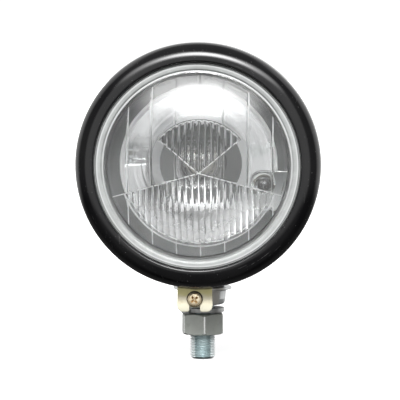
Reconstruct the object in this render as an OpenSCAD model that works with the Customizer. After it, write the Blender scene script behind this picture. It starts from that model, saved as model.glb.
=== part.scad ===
// Round tractor work light on a single threaded stud.
// Millimetres. +Z up, the lamp faces -Y. The origin is on the stud axis, at
// the underside of the saddle cup, where the vehicle's bracket bears.

/* [Lamp] */
// Height of the lamp axis above the saddle cup's underside
lamp_z = 68.5; // [67.5:0.5:70]
// Outer diameter of the front rim
rim_d = 115; // [114:0.5:116]
// Diameter of the lens opening in the rim
opening_d = 96.6; // [96:0.2:97]
// Distance of the rim's widest plane in front of the stud axis
rim_u = 38; // [37.8:0.1:38.2]
// Thickness of the steel sheet of bowl and rim
sheet = 1; // [0.9:0.05:1.05]
// Height of the lens dome above its flange
dome_h = 12; // [8:0.5:12.5]
// Depth of the bowl behind its mouth
bowl_depth = 72; // [71:0.5:76]

/* [Stud and saddle] */
// Thread radius at the stud's free end
stud_r = 6; // [5.95:0.01:6]
// Length of the stud below the saddle cup
stud_drop = 26.2; // [25.2:0.5:32.2]
// Outer radius of the saddle cup's flange
saddle_r = 14; // [13:0.5:15]
// Radius of the bowl's ball-shaped boss
boss_r = 14; // [14:0.1:14.1]
// Largest tilt of the lamp, either way, that the slot allows, in degrees
tilt_max = 12; // [8:1:13]

/* [Fasteners] */
// Width across flats of the mounting nut
nut_af = 19; // [18:0.5:20]
// Height of the mounting nut
nut_h = 10; // [9:0.5:10]
// Radius of the rim screw's shank
screw_r = 2; // [1.8:0.05:2]
// Radius of the rim screw's head
screw_head_r = 3.3; // [3:0.1:3.6]

/* [Optics] */
// Focal length of the reflector
focal = 14; // [13.8:0.1:14.5]
// Radius of the main bulb's glass
bulb_r = 12; // [10:0.5:12]
// Angle of the pilot bulb round the lamp axis, from the right, in degrees
pilot_angle = -17; // [-19:0.5:-15]

/* [Hidden] */

$fn = 96;

// Radii and forward distances (u) shared by several pieces
rim_r = rim_d / 2;
lip_r = opening_d / 2;
crown_r = lip_r + sheet;            // centre of the rim's rounded crown
crown = rim_r - crown_r;            // radius of that crown
skirt_u = 29;                       // rear edge of the rim's skirt
lip_u = 43.6;                       // rear edge of the rim's inner lip
lens_r = lip_r + 2.5;
dome_r = lip_r - 3.9;               // where the lens dome starts
lens_u = lip_u - 0.15;              // front face of the lens flange
lens_R = (dome_r * dome_r + dome_h * dome_h) / (2 * dome_h);
lens_c = lens_u + dome_h - lens_R;  // centre of the dome's sphere
flange_u = 39.3;                    // front face of the reflector's flange
mouth_r = 35.6;                     // mouth of the parabola
mouth_u = 31.0857;
vertex_u = mouth_u - mouth_r * mouth_r / (4 * focal);
focus_u = vertex_u + focal;
neck_r = 12.5;                      // bulb opening in the reflector
bowl_r = 54.4;                      // outer radius of the bowl's mouth
bowl_u = 33.5;                      // front of the bowl's mouth
ball_z = 18.27;                     // pivot of the tilt, on the stud axis
dome_top = 10.95;                   // flat top of the clamp dome, under the stud's head
clip_x = -1.8;                      // the rim clip and its screw sit off centre
screw_z = 5.4;
slot_y = 5.4 + (boss_r - 1) * sin(tilt_max); // half length of the slot in the boss
pilot_r = 31.5;
pocket_u = 18.5;                    // floor of the pilot bulb's pocket

// Points of an arc about (cx, cy)
function arc(cx, cy, r, a0, a1, n = 12) =
  [for (i = [0:n]) let (a = a0 + (a1 - a0) * i / n) [cx + r * cos(a), cy + r * sin(a)]];
// Half section of the bowl: radius and forward distance
function bowl_line(r, d, n = 26) =
  [for (i = [0:n]) let (a = 90 * i / n) [r * cos(a), bowl_u - d * pow(sin(a), 2 / 3)]];
// Forward distance of the reflector's inner face at radius r
function para(r) = vertex_u + r * r / (4 * focal);
// The reflector's face, and its back, t behind it
function para_line(r0, r1, t, n = 18) =
  [for (i = [0:n]) let (r = r0 + (r1 - r0) * i / n, k = r / (2 * focal), s = sqrt(1 + k * k))
    [r + t * k / s, para(r) - t / s]];

// Lamp frame: local z runs forward along the lamp axis, local y runs up
module lamp() translate([0, 0, lamp_z]) rotate([90, 0, 0]) children();
module spin(pts) lamp() rotate_extrude() polygon(pts);
// A straight tube or disc about the lamp axis, from u0 to u1
module disc(r, u0, u1) translate([0, 0, u0]) cylinder(r = r, h = u1 - u0);
module tube(r0, r1, u0, u1) difference() { disc(r1, u0, u1); disc(r0, u0 - 1, u1 + 1); }
// Pilot frame: the lamp frame moved to the pilot bulb's own axis
module pilot() lamp() rotate([0, 0, pilot_angle]) translate([pilot_r, 0, 0]) children();

// ---- stud, saddle and nut ----

module stud() color([0.62, 0.68, 0.70]) rotate_extrude() polygon(concat(
  [[0, -stud_drop], [4.9, -stud_drop], [stud_r, -stud_drop + 1], [stud_r, -15.2],
   [5.6, -15.2], [5.6, -14.5], [stud_r - 0.05, -14.5], [stud_r - 0.05, 1.6], [4.5, 1.6], [4.5, 11], [8.2, 11], [8.2, 12]],
  [for (p = arc(0, 2, 12.96, 50.5, 90, 8)) p]));

module saddle_cup() color([0.78, 0.80, 0.81]) rotate_extrude() polygon(concat(
  [[6.05, 0]], arc(8.6, 2.4, 2.4, -90, 0, 8), [[11.4, 7.2], [saddle_r, 7.4], [saddle_r, 8.6],
   [10.4, 8.6], [9.9, 7.9], [9.7, 3]], arc(8.2, 3, 1.5, 0, -90, 6), [[6.05, 1.5]]));

// A split ring, cut through on a slant at its front left
module spring_washer() color([0.70, 0.72, 0.72]) difference() {
  translate([0, 0, -3.8]) cylinder(r = 10.4, h = 2.5);
  translate([0, 0, -5]) cylinder(r = 6.2, h = 5);
  rotate([0, 0, 236]) translate([8, 0, -2.55]) rotate([28, 0, 0]) cube([8, 1.1, 8], center = true);
}

module mounting_nut() color([0.55, 0.57, 0.55]) difference() {
  translate([0, 0, -4.4 - nut_h]) rotate([0, 0, -81.8]) intersection() {
    cylinder(r = nut_af / 2 / cos(30), h = nut_h, $fn = 6);
    rotate_extrude() polygon([[0, 0], [nut_af / 2 - 0.3, 0], [nut_af / 2 + 1.7, 1.15],
      [nut_af / 2 + 1.7, nut_h - 1.15], [nut_af / 2 - 0.3, nut_h], [0, nut_h]]);
  }
  translate([0, 0, -5.4 - nut_h]) cylinder(r = stud_r + 0.04, h = nut_h + 2);
}

// Domed clamp inside the boss, with a square tongue that runs in the slot
module clamp_dome() color([0.66, 0.67, 0.66]) difference() {
  union() {
    rotate_extrude() polygon(concat([[0, dome_top]], [[0, ball_z - boss_r + 1.2]],
      arc(0, ball_z, boss_r - 1.2, -90, -asin((ball_z - dome_top) / (boss_r - 1.2)), 12)));
    translate([-5.5, -5.5, 3.6]) cube([11, 11, 3.4]);
  }
  translate([0, 0, 2]) cylinder(r = 4.58, h = 12);
}

// ---- bowl and what it carries ----

module boss(r) rotate_extrude() polygon(concat(
  [[0, ball_z + 10]], arc(0, ball_z, r, -90, 0, 20), [[r, ball_z + 10]]));

module bowl() color([0.05, 0.05, 0.055]) difference() {
  union() {
    spin(concat([[0, bowl_u]], bowl_line(bowl_r, bowl_depth)));
    spin([[0, bowl_u - 1], [bowl_r + 1.2, bowl_u - 1], [bowl_r + 1.2, bowl_u], [0, bowl_u]]);
    boss(boss_r);
  }
  spin(concat([[0, bowl_u + 2], [bowl_r - sheet, bowl_u + 2]], bowl_line(bowl_r - sheet, bowl_depth - sheet)));
  boss(boss_r - 1);
  // slot for the stud, fore and aft in the boss
  translate([-5.6, -slot_y, 2]) cube([11.2, 2 * slot_y, 9]);
  // notch and slot for the rim's hook
  lamp() translate([-5.8, 50, 23.5]) cube([11.6, 8, 6]);
  lamp() translate([-5.8, bowl_r + 0.05, 29]) cube([11.6, 8, 8]);
  // hole for the cable grommet
  grommet_frame() translate([0, 0, -8]) cylinder(r = 6, h = 16);
}

// Local z points out of the bowl's lower back, square to its surface
module grommet_frame() translate([0, 26.8, lamp_z - 35]) rotate([-129, 0, 0]) children();

module cable_grommet() color([0.09, 0.09, 0.09]) grommet_frame() rotate_extrude() polygon([
  [3.2, -4], [5, -4], [8.2, -3.2], [8.2, -2], [5.85, -1.6], [5.85, -0.3], [9, -0.8],
  [9, 0.9], [7, 2.4], [5.2, 6], [3.2, 6]]);

module dust_seal() color([0.08, 0.08, 0.08]) spin([[bowl_r - 0.9, bowl_u + 0.05],
  [bowl_r + 0.6, bowl_u + 0.05], [bowl_r + 0.6, bowl_u + 0.7], [bowl_r - 0.1, bowl_u + 1.7], [bowl_r - 0.9, bowl_u + 1.7]]);

// Bent strip spot-welded under the bowl's front, bored for the rim screw
module screw_lug() color([0.80, 0.74, 0.52]) difference() {
  union() {
    intersection() {
      lamp() tube(bowl_r + 0.05, bowl_r + 1.5, 18.5, 28);
      translate([clip_x - 6, -29, 5]) cube([12, 12, 12]);
    }
    difference() {
      translate([clip_x - 6, -28, 1]) cube([12, 1.5, 14]);
      lamp() disc(bowl_r + 0.05, 0, 40);
    }
  }
  translate([clip_x, 0, screw_z]) rotate([90, 0, 0]) cylinder(r = 2.3, h = 40);
}

module lug_nut() color([0.66, 0.66, 0.62]) translate([clip_x, -26.45, screw_z]) difference() {
  translate([-3.5, 0, -3.5]) cube([7, 3.2, 7]);
  rotate([90, 0, 0]) translate([0, 0, -8]) cylinder(r = screw_r + 0.06, h = 16);
}

// ---- rim and the optic it carries ----

module rim() color([0.03, 0.03, 0.035]) spin(concat(
  [[rim_r, skirt_u]], arc(crown_r, rim_u, crown, 0, 90, 18),
  arc(crown_r, rim_u + crown - sheet, sheet, 108, 180, 4),
  [[lip_r, lip_u], [crown_r, lip_u]], arc(crown_r, rim_u, crown - sheet, 90, 0, 18),
  [[rim_r - sheet, skirt_u]]));

// Tongue under the skirt's top, turned down through the bowl's slot
module rim_hook() color([0.35, 0.35, 0.34]) {
  intersection() {
    lamp() tube(55.2, 56.45, 26.5, 36.5);
    translate([-5, -37, lamp_z + 40]) cube([10, 12, 20]);
  }
  lamp() translate([-5, 50.5, 26.5]) cube([10, 5.2, 1.2]);
}

// Forked tab under the rim
module rim_clip() color([0.82, 0.77, 0.52]) difference() {
  union() {
    intersection() {
      lamp() tube(rim_r + 0.02, rim_r + 1.2, 29.2, 32);
      translate([clip_x - 8.2, -33, 5]) cube([16.4, 5, 12]);
    }
    difference() {
      translate([clip_x, -30.8, 0]) rotate([90, 0, 0]) linear_extrude(height = 1.2) union() {
        translate([-8.2, 2.2]) square([16.4, 12]);
        translate([-5.2, -0.8]) square([10.4, 12]);
        for (s = [-1, 1]) translate([s * 5.2, 2.2]) circle(r = 3);
      }
      lamp() disc(rim_r + 0.02, 20, 40);
    }
  }
  // the fork's slot, open below
  translate([clip_x, 0, screw_z]) rotate([90, 0, 0]) cylinder(r = 2.45, h = 50);
  translate([clip_x - 2.45, -50, -10]) cube([4.9, 50, 10 + screw_z]);
}

module lens() color([0.85, 0.88, 0.90, 0.5]) spin(concat(
  [for (i = [0:16]) let (r = dome_r * i / 16) [r, lens_c + sqrt(lens_R * lens_R - r * r)]],
  [[dome_r + 0.5, lens_u + 0.9], [lip_r - 0.4, lens_u + 0.9], [lip_r - 0.2, lens_u + 0.15], [lens_r, lens_u],
  [lens_r, lens_u - 3], [41.5, lens_u - 3]],
  [for (i = [0:16]) let (r = 41.5 * (1 - i / 16)) [r, lens_c + sqrt(pow(lens_R - 3, 2) - r * r)]]));

module lens_gasket() color([0.12, 0.12, 0.12]) spin([[lip_r - 0.1, flange_u + 0.05],
  [lens_r + 0.9, flange_u + 0.05], [lens_r + 0.9, lens_u - 0.3], [lens_r + 0.05, lens_u - 0.3],
  [lens_r + 0.05, lens_u - 3.05], [lip_r - 0.1, lens_u - 3.05]]);

// Outline of the pilot bulb's pocket, seen along the lamp axis, grown by g
module pocket_outline(g) let (x = pilot_r * cos(pilot_angle) - 5.8, y = pilot_r * sin(pilot_angle)) intersection() {
  polygon(concat(arc(x + 5, y + 0.8, 5 + g, 90, 180, 5), arc(x + 5, y - 5.7, 5 + g, 180, 270, 5),
    [[x + 30, y - 10.7 - g], [x + 30, y + 5.8 + g]]));
  circle(r = 46.2 + g);
}

// Parabola with a stepped flange and the pilot bulb's pocket, bored for both bulbs
module reflector() color([0.86, 0.87, 0.88]) difference() {
  union() {
    spin(concat([[51.2, flange_u], [47, flange_u], [46.6, 34.4]],
      [for (i = [18:-1:0]) para_line(neck_r, mouth_r, 0)[i]],
      [for (p = para_line(neck_r, mouth_r, 0.75)) p],
      [[47.3, 33.65], [47.75, flange_u - 0.75], [51.2, flange_u - 0.75]]));
    intersection() {
      lamp() translate([0, 0, pocket_u - 0.75]) linear_extrude(height = 20) pocket_outline(0.75);
      spin(concat([[neck_r, 10]], [for (p = para_line(neck_r, mouth_r, 0.375)) p],
        [[46.95, 34], [47.25, 34], [47.25, 10]]));
    }
  }
  lamp() translate([0, 0, pocket_u]) linear_extrude(height = 30) pocket_outline(0);
  pilot() disc(5.5, 5, 36);
}

// Spring clips that hold lens and reflector in the rim
module retaining_clips() color([0.60, 0.60, 0.58]) lamp() for (a = [0:60:300]) rotate([0, 0, a])
  translate([0, 3.5, 0]) rotate([90, 0, 0]) linear_extrude(height = 7) polygon([[49, 37.75], [49, 38.5],
    [52.3, 38.5], [55.3, 36.9], [55.5, 38.2], [56.2, 38.2], [56.2, 35.5], [55.5, 35.5], [52, 37.75]]);

// Bayonet collar behind the reflector's neck
module holder_collar() color([0.70, 0.70, 0.68]) lamp() difference() {
  disc(15.6, 4.4, 10.4);
  disc(12.8, 3, 12);
  disc(14.3, 6.2, 7.9);
  for (a = [40, 160, 280]) rotate([0, 0, a]) translate([12, -3.3, 3]) cube([2.3, 6.6, 4]);
}

module screw_washer() color([0.25, 0.24, 0.22]) translate([clip_x, 0, screw_z]) rotate([90, 0, 0])
  tube(screw_r + 0.06, 3.8, 32.05, 32.7);

module rim_screw() color([0.86, 0.76, 0.48]) translate([clip_x, 0, screw_z]) rotate([90, 0, 0]) difference() {
  union() {
    disc(screw_r, 21, 33);
    rotate_extrude() polygon([[0, 32.75], [screw_head_r, 32.75], [screw_head_r, 34.2], [screw_head_r - 0.5, 34.8],
      [screw_head_r - 1.5, 35.1], [0, 35.15]]);
  }
  for (a = [20, 110]) rotate([0, 0, a]) translate([-2, -0.45, 34]) cube([4, 0.9, 3]);
}

// ---- main bulb and its holder ----

module bulb_holder() color([0.72, 0.68, 0.50]) lamp() difference() {
  union() {
    disc(8.3, -13, 10);
    disc(12.5, 6.4, 7.6);
    for (a = [70, 190, 310]) rotate([0, 0, a]) translate([10, -3, 6.4]) cube([4, 6, 1.2]);
  }
  disc(7.6, -20, 20);
  // hooked slots for the cap's two pins
  for (s = [0, 180]) rotate([0, 0, s]) {
    translate([0, 0, -0.7]) linear_extrude(height = 3.9)
      polygon([[0, 0], [10 * cos(-8.6), 10 * sin(-8.6)], [10.2 * cos(8), 10.2 * sin(8)], [10 * cos(24), 10 * sin(24)]]);
    rotate([0, 0, 24]) translate([6, -1.2, 0]) cube([2.9, 2.4, 12]);
  }
}

module holder_gasket() color([0.10, 0.10, 0.10]) lamp() tube(8.45, 12.3, 7.7, 8.7);
module holder_insulator() color([0.35, 0.18, 0.08]) lamp() tube(1.7, 7.5, -12.9, -10);

module live_terminal() color([0.80, 0.66, 0.34]) lamp() difference() {
  union() {
    translate([-3.2, -3.15, -13.75]) cube([6.4, 6.3, 0.8]);
    translate([2.4, -3.15, -23]) cube([0.8, 6.3, 9.6]);
  }
  disc(1.7, -15, -10);
}

module earth_terminal() color([0.80, 0.80, 0.78]) lamp() difference() {
  translate([-3.15, -9.6, -22]) cube([6.3, 0.8, 27]);
  translate([0, -5, -19]) rotate([90, 0, 0]) cylinder(r = 0.9, h = 8);
}

module contact_spring() color([0.60, 0.60, 0.58]) lamp() tube(1.8, 2.9, -9.95, -6.25);
module contact_plunger() color([0.80, 0.66, 0.34]) lamp() union() { disc(3.4, -6.2, -5); disc(1.5, -15.5, -6); }

module bulb_cap() color([0.80, 0.78, 0.70]) lamp() {
  difference() { disc(7.5, -4, 10); disc(7.1, -3.2, 12); disc(2.65, -6, 0); }
  for (s = [0, 180]) rotate([0, 0, s]) translate([7.2, 0, 2]) rotate([0, 90, 0]) cylinder(r = 0.95, h = 1.7);
}
module bulb_contact() color([0.70, 0.70, 0.70]) spin([[0, -4.95], [1.6, -4.9], [2.4, -4.5], [2.6, -4], [2.6, -3], [0, -3]]);

module bulb_glass() color([0.9, 0.93, 0.95, 0.5]) spin(concat(
  [[5.8, 8.5], [6.6, 8.5]], arc(0, 23.5, bulb_r, -asin(sqrt(1 - pow(6.6 / bulb_r, 2))), 90, 20),
  arc(0, 23.5, bulb_r - 0.7, 90, -asin(sqrt(1 - pow(5.8 / (bulb_r - 0.7), 2))), 20)));

module filament_mount() color([0.75, 0.78, 0.80]) lamp() union() {
  disc(4.6, 8.6, 11.4);
  translate([-4.9, 0, 14.5]) rotate([0, 90, 0]) cylinder(r = 1.3, h = 9.8);
  for (s = [-1, 1]) translate([s * 3.9, 0, 11]) cylinder(r = 0.4, h = focus_u - 10.3);
}
module filament() color([0.45, 0.45, 0.47]) lamp() translate([-3.45, 0, focus_u]) rotate([0, 90, 0]) cylinder(r = 0.7, h = 6.9);

// ---- pilot bulb and its holder ----

module pilot_holder() color([0.78, 0.78, 0.76]) pilot() difference() {
  union() { disc(5.3, 3, 25); disc(6.9, 15.6, 16.8); }
  disc(4.65, 2, 26);
  for (s = [0, 180]) rotate([0, 0, s]) translate([3, -1.1, 17.3]) cube([4, 2.2, 9]);
}
module pilot_insulator() color([0.35, 0.18, 0.08]) pilot() tube(1.2, 4.6, 3.2, 5.6);
module pilot_terminal() color([0.80, 0.66, 0.34]) pilot() union() {
  disc(1.1, 1.5, 8.6);
  disc(2.4, 6, 7.2);
  translate([-0.4, -3.15, -8]) cube([0.8, 6.3, 9.8]);
}
module pilot_cap() color([0.80, 0.78, 0.70]) pilot() {
  difference() { disc(4.55, 9.6, 24); disc(4.2, 10.4, 26); }
  disc(1.5, 8.7, 9.7);
  for (s = [0, 180]) rotate([0, 0, s]) translate([4.3, 0, 18.6]) rotate([0, 90, 0]) cylinder(r = 0.9, h = 0.95);
}
module pilot_glass() color([0.9, 0.93, 0.95, 0.5]) pilot() rotate_extrude() polygon(concat(
  [[3.5, 21], [4, 21], [4, 32.8]], arc(0, 32.8, 4, 0, 90, 10), arc(0, 32.8, 3.5, 90, 0, 10)));
module pilot_filament() color([0.45, 0.45, 0.47]) pilot() union() {
  disc(2.6, 20.6, 22.4);
  for (s = [-1, 1]) translate([0, s * 1.6, 22]) cylinder(r = 0.25, h = 7.4);
  translate([0, 2.1, 29.4]) rotate([90, 0, 0]) cylinder(r = 0.45, h = 4.2);
}

stud();
saddle_cup();
spring_washer();
mounting_nut();
clamp_dome();
bowl();
screw_lug();
lug_nut();
dust_seal();
cable_grommet();
rim();
rim_hook();
rim_clip();
lens();
lens_gasket();
reflector();
retaining_clips();
holder_collar();
screw_washer();
rim_screw();
bulb_holder();
holder_gasket();
holder_insulator();
live_terminal();
earth_terminal();
contact_spring();
bulb_cap();
bulb_glass();
bulb_contact();
filament();
filament_mount();
contact_plunger();
pilot_holder();
pilot_insulator();
pilot_terminal();
pilot_cap();
pilot_glass();
pilot_filament();
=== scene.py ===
import math

import bmesh
import bpy
from mathutils import Matrix, Vector


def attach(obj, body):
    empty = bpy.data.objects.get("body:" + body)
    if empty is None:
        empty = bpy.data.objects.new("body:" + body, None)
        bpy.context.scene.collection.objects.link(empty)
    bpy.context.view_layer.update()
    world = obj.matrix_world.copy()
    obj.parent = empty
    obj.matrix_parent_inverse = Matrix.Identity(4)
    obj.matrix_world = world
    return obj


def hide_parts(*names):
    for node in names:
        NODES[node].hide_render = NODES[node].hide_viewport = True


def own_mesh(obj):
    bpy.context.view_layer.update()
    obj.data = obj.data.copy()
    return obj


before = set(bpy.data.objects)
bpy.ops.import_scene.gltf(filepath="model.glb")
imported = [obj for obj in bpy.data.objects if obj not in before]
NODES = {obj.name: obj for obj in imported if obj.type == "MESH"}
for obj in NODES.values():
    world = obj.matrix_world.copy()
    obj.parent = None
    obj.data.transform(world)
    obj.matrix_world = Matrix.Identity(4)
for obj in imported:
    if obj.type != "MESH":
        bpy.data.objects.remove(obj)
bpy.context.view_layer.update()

MM = 0.001
LZ = 68.5          # height of the lamp axis above the saddle cup's underside
TAU = 2 * math.pi

# ------------------------------------------------------------------ camera

AZ, EL, DIST = math.radians(3.53), math.radians(3.5), 1.3
AIM = Vector((-0.0013, 0.0, 0.0501))
fwd = Vector((-math.sin(AZ) * math.cos(EL), math.cos(AZ) * math.cos(EL), -math.sin(EL)))
cam_data = bpy.data.cameras.new("camera")
cam_data.sensor_width = 36.0
cam_data.lens = 36.0 * 2702 / 400
cam_data.clip_start, cam_data.clip_end = 0.05, 30
cam = bpy.data.objects.new("camera", cam_data)
cam.location = AIM - fwd * DIST
cam.rotation_euler = fwd.to_track_quat("-Z", "Y").to_euler()
bpy.context.scene.collection.objects.link(cam)
bpy.context.scene.camera = cam

# ------------------------------------------------------------------ mesh helpers


def lamp(r, a, u):
    """A point at radius r, angle a round the lamp axis and distance u forward, in mm."""
    return (r * math.cos(a), -u, LZ + r * math.sin(a))


def lampxy(x, y, u):
    return (x, -u, LZ + y)


def upright(r, a, z):
    return (r * math.cos(a), r * math.sin(a), z)


def fillet(points, radii, seg=5, closed=True):
    """Rounds the corners of a polyline. radii is one number, or one for each point."""
    n = len(points)
    out = []
    for i, p in enumerate(points):
        r = radii if isinstance(radii, (int, float)) else radii[i]
        if r <= 0 or (not closed and i in (0, n - 1)):
            out.append(p)
            continue
        p = Vector(p)
        a, b = Vector(points[i - 1]) - p, Vector(points[(i + 1) % n]) - p
        la, lb = a.length, b.length
        if la < 1e-9 or lb < 1e-9:
            out.append(tuple(p))
            continue
        a, b = a / la, b / lb
        ang = math.acos(max(-1, min(1, a.dot(b))))
        if ang > math.radians(176):
            out.append(tuple(p))
            continue
        t = min(r / math.tan(ang / 2), la * 0.48, lb * 0.48)
        rr = t * math.tan(ang / 2)
        mid = (a + b).normalized()
        c = p + mid * (rr / math.sin(ang / 2))
        s, e = p + a * t - c, p + b * t - c
        a0 = math.atan2(s.y, s.x)
        d = math.atan2(e.y, e.x) - a0
        while d > math.pi:
            d -= TAU
        while d < -math.pi:
            d += TAU
        for k in range(seg + 1):
            w = a0 + d * k / seg
            out.append((c.x + rr * math.cos(w), c.y + rr * math.sin(w)))
    return out


def finish_mesh(obj, sharp=35, flip=False, recalc=True):
    me = obj.data
    bm = bmesh.new()
    bm.from_mesh(me)
    if recalc:
        bmesh.ops.recalc_face_normals(bm, faces=bm.faces)
    bm.to_mesh(me)
    bm.free()
    for p in me.polygons:
        p.use_smooth = True
    if sharp:
        me.set_sharp_from_angle(angle=math.radians(sharp))
    me.update()


def make(name, verts, faces, material, body, replaces=(), sharp=35, recalc=True, materials=None, face_material=None):
    me = bpy.data.meshes.new(name)
    me.from_pydata([(x * MM, y * MM, z * MM) for x, y, z in verts], [], faces)
    obj = bpy.data.objects.new(name, me)
    bpy.context.scene.collection.objects.link(obj)
    for m in materials or [material]:
        me.materials.append(m)
    if face_material:
        for p, k in zip(me.polygons, face_material):
            p.material_index = k
    finish_mesh(obj, sharp, recalc=recalc)
    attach(obj, body)
    if replaces:
        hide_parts(*([replaces] if isinstance(replaces, str) else replaces))
    return obj


def revolve_data(profile, place, n=192, closed=True, a0=0.0):
    """Verts and faces of a profile of (r, u) turned round an axis. Points at r = 0 become poles."""
    verts, rings = [], []
    for r, u in profile:
        if r < 1e-7:
            rings.append([len(verts)])
            verts.append(place(0, 0, u))
        else:
            rings.append(list(range(len(verts), len(verts) + n)))
            verts += [place(r, a0 + TAU * k / n, u) for k in range(n)]
    faces = []
    pairs = list(zip(rings, rings[1:])) + ([(rings[-1], rings[0])] if closed else [])
    for p, q in pairs:
        if len(p) == 1 and len(q) == 1:
            continue
        for k in range(n):
            j = (k + 1) % n
            if len(p) == 1:
                faces.append((p[0], q[j], q[k]))
            elif len(q) == 1:
                faces.append((p[k], p[j], q[0]))
            else:
                faces.append((p[k], p[j], q[j], q[k]))
    return verts, faces


def revolve(name, profile, place, material, body, replaces=(), n=192, closed=True, sharp=35):
    v, f = revolve_data(profile, place, n, closed)
    return make(name, v, f, material, body, replaces, sharp)


def apply_modifiers(obj):
    bpy.context.view_layer.update()
    dg = bpy.context.evaluated_depsgraph_get()
    new = bpy.data.meshes.new_from_object(obj.evaluated_get(dg), preserve_all_data_layers=True, depsgraph=dg)
    old = obj.data
    obj.modifiers.clear()
    obj.data = new
    new.name = old.name
    bpy.data.meshes.remove(old)


def scratch(name, verts, faces):
    me = bpy.data.meshes.new(name)
    me.from_pydata([(x * MM, y * MM, z * MM) for x, y, z in verts], [], faces)
    obj = bpy.data.objects.new(name, me)
    bpy.context.scene.collection.objects.link(obj)
    bm = bmesh.new()
    bm.from_mesh(me)
    bmesh.ops.recalc_face_normals(bm, faces=bm.faces)
    bm.to_mesh(me)
    bm.free()
    return obj


def cut(obj, tools, operation="DIFFERENCE"):
    """Cuts closed scratch meshes out of obj, and removes them."""
    for t in tools:
        m = obj.modifiers.new("cut", "BOOLEAN")
        m.operation = operation
        m.solver = "EXACT"
        m.object = t
    apply_modifiers(obj)
    for t in tools:
        me = t.data
        bpy.data.objects.remove(t)
        bpy.data.meshes.remove(me)


def box_tool(name, x, y, z, r=0.0, axis="Z"):
    """A closed box from (x0, x1), (y0, y1), (z0, z1) whose upright edges along axis are rounded by r."""
    if axis == "Z":
        o = fillet([(x[0], y[0]), (x[1], y[0]), (x[1], y[1]), (x[0], y[1])], r, 6)
        lo = [(p[0], p[1], z[0]) for p in o]
        hi = [(p[0], p[1], z[1]) for p in o]
    else:
        o = fillet([(x[0], z[0]), (x[1], z[0]), (x[1], z[1]), (x[0], z[1])], r, 6)
        lo = [(p[0], y[0], p[1]) for p in o]
        hi = [(p[0], y[1], p[1]) for p in o]
    n = len(o)
    faces = [tuple(range(n)), tuple(range(2 * n - 1, n - 1, -1))]
    faces += [(k, (k + 1) % n, n + (k + 1) % n, n + k) for k in range(n)]
    return scratch(name, lo + hi, faces)


def rod_tool(name, a, b, r, n=48):
    a, b = Vector(a), Vector(b)
    d = (b - a).normalized()
    s = d.orthogonal().normalized()
    t = d.cross(s)
    v = [tuple(p + (s * math.cos(TAU * k / n) + t * math.sin(TAU * k / n)) * r) for p in (a, b) for k in range(n)]
    f = [tuple(range(n)), tuple(range(2 * n - 1, n - 1, -1))]
    f += [(k, (k + 1) % n, n + (k + 1) % n, n + k) for k in range(n)]
    return scratch(name, v, f)


def tube_data(path, r, n=10, closed_ends=True):
    """A round wire along a list of points, in mm. r is one number, or one for each point."""
    pts = [Vector(p) for p in path]
    verts, faces = [], []
    d0 = (pts[1] - pts[0]).normalized()
    s = d0.orthogonal().normalized()
    for i, p in enumerate(pts):
        a, b = pts[max(i - 1, 0)], pts[min(i + 1, len(pts) - 1)]
        d = (b - a).normalized()
        s = (s - d * s.dot(d)).normalized()
        t = d.cross(s)
        rr = r if isinstance(r, (int, float)) else r[i]
        verts += [tuple(p + (s * math.cos(TAU * k / n) + t * math.sin(TAU * k / n)) * rr) for k in range(n)]
    for i in range(len(pts) - 1):
        for k in range(n):
            j = (k + 1) % n
            faces.append((i * n + k, i * n + j, (i + 1) * n + j, (i + 1) * n + k))
    if closed_ends:
        faces.append(tuple(range(n - 1, -1, -1)))
        m = (len(pts) - 1) * n
        faces.append(tuple(range(m, m + n)))
    return verts, faces


def merge_data(parts):
    verts, faces = [], []
    for v, f in parts:
        k = len(verts)
        verts += v
        faces += [tuple(i + k for i in q) for q in f]
    return verts, faces


# ------------------------------------------------------------------ materials


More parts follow.
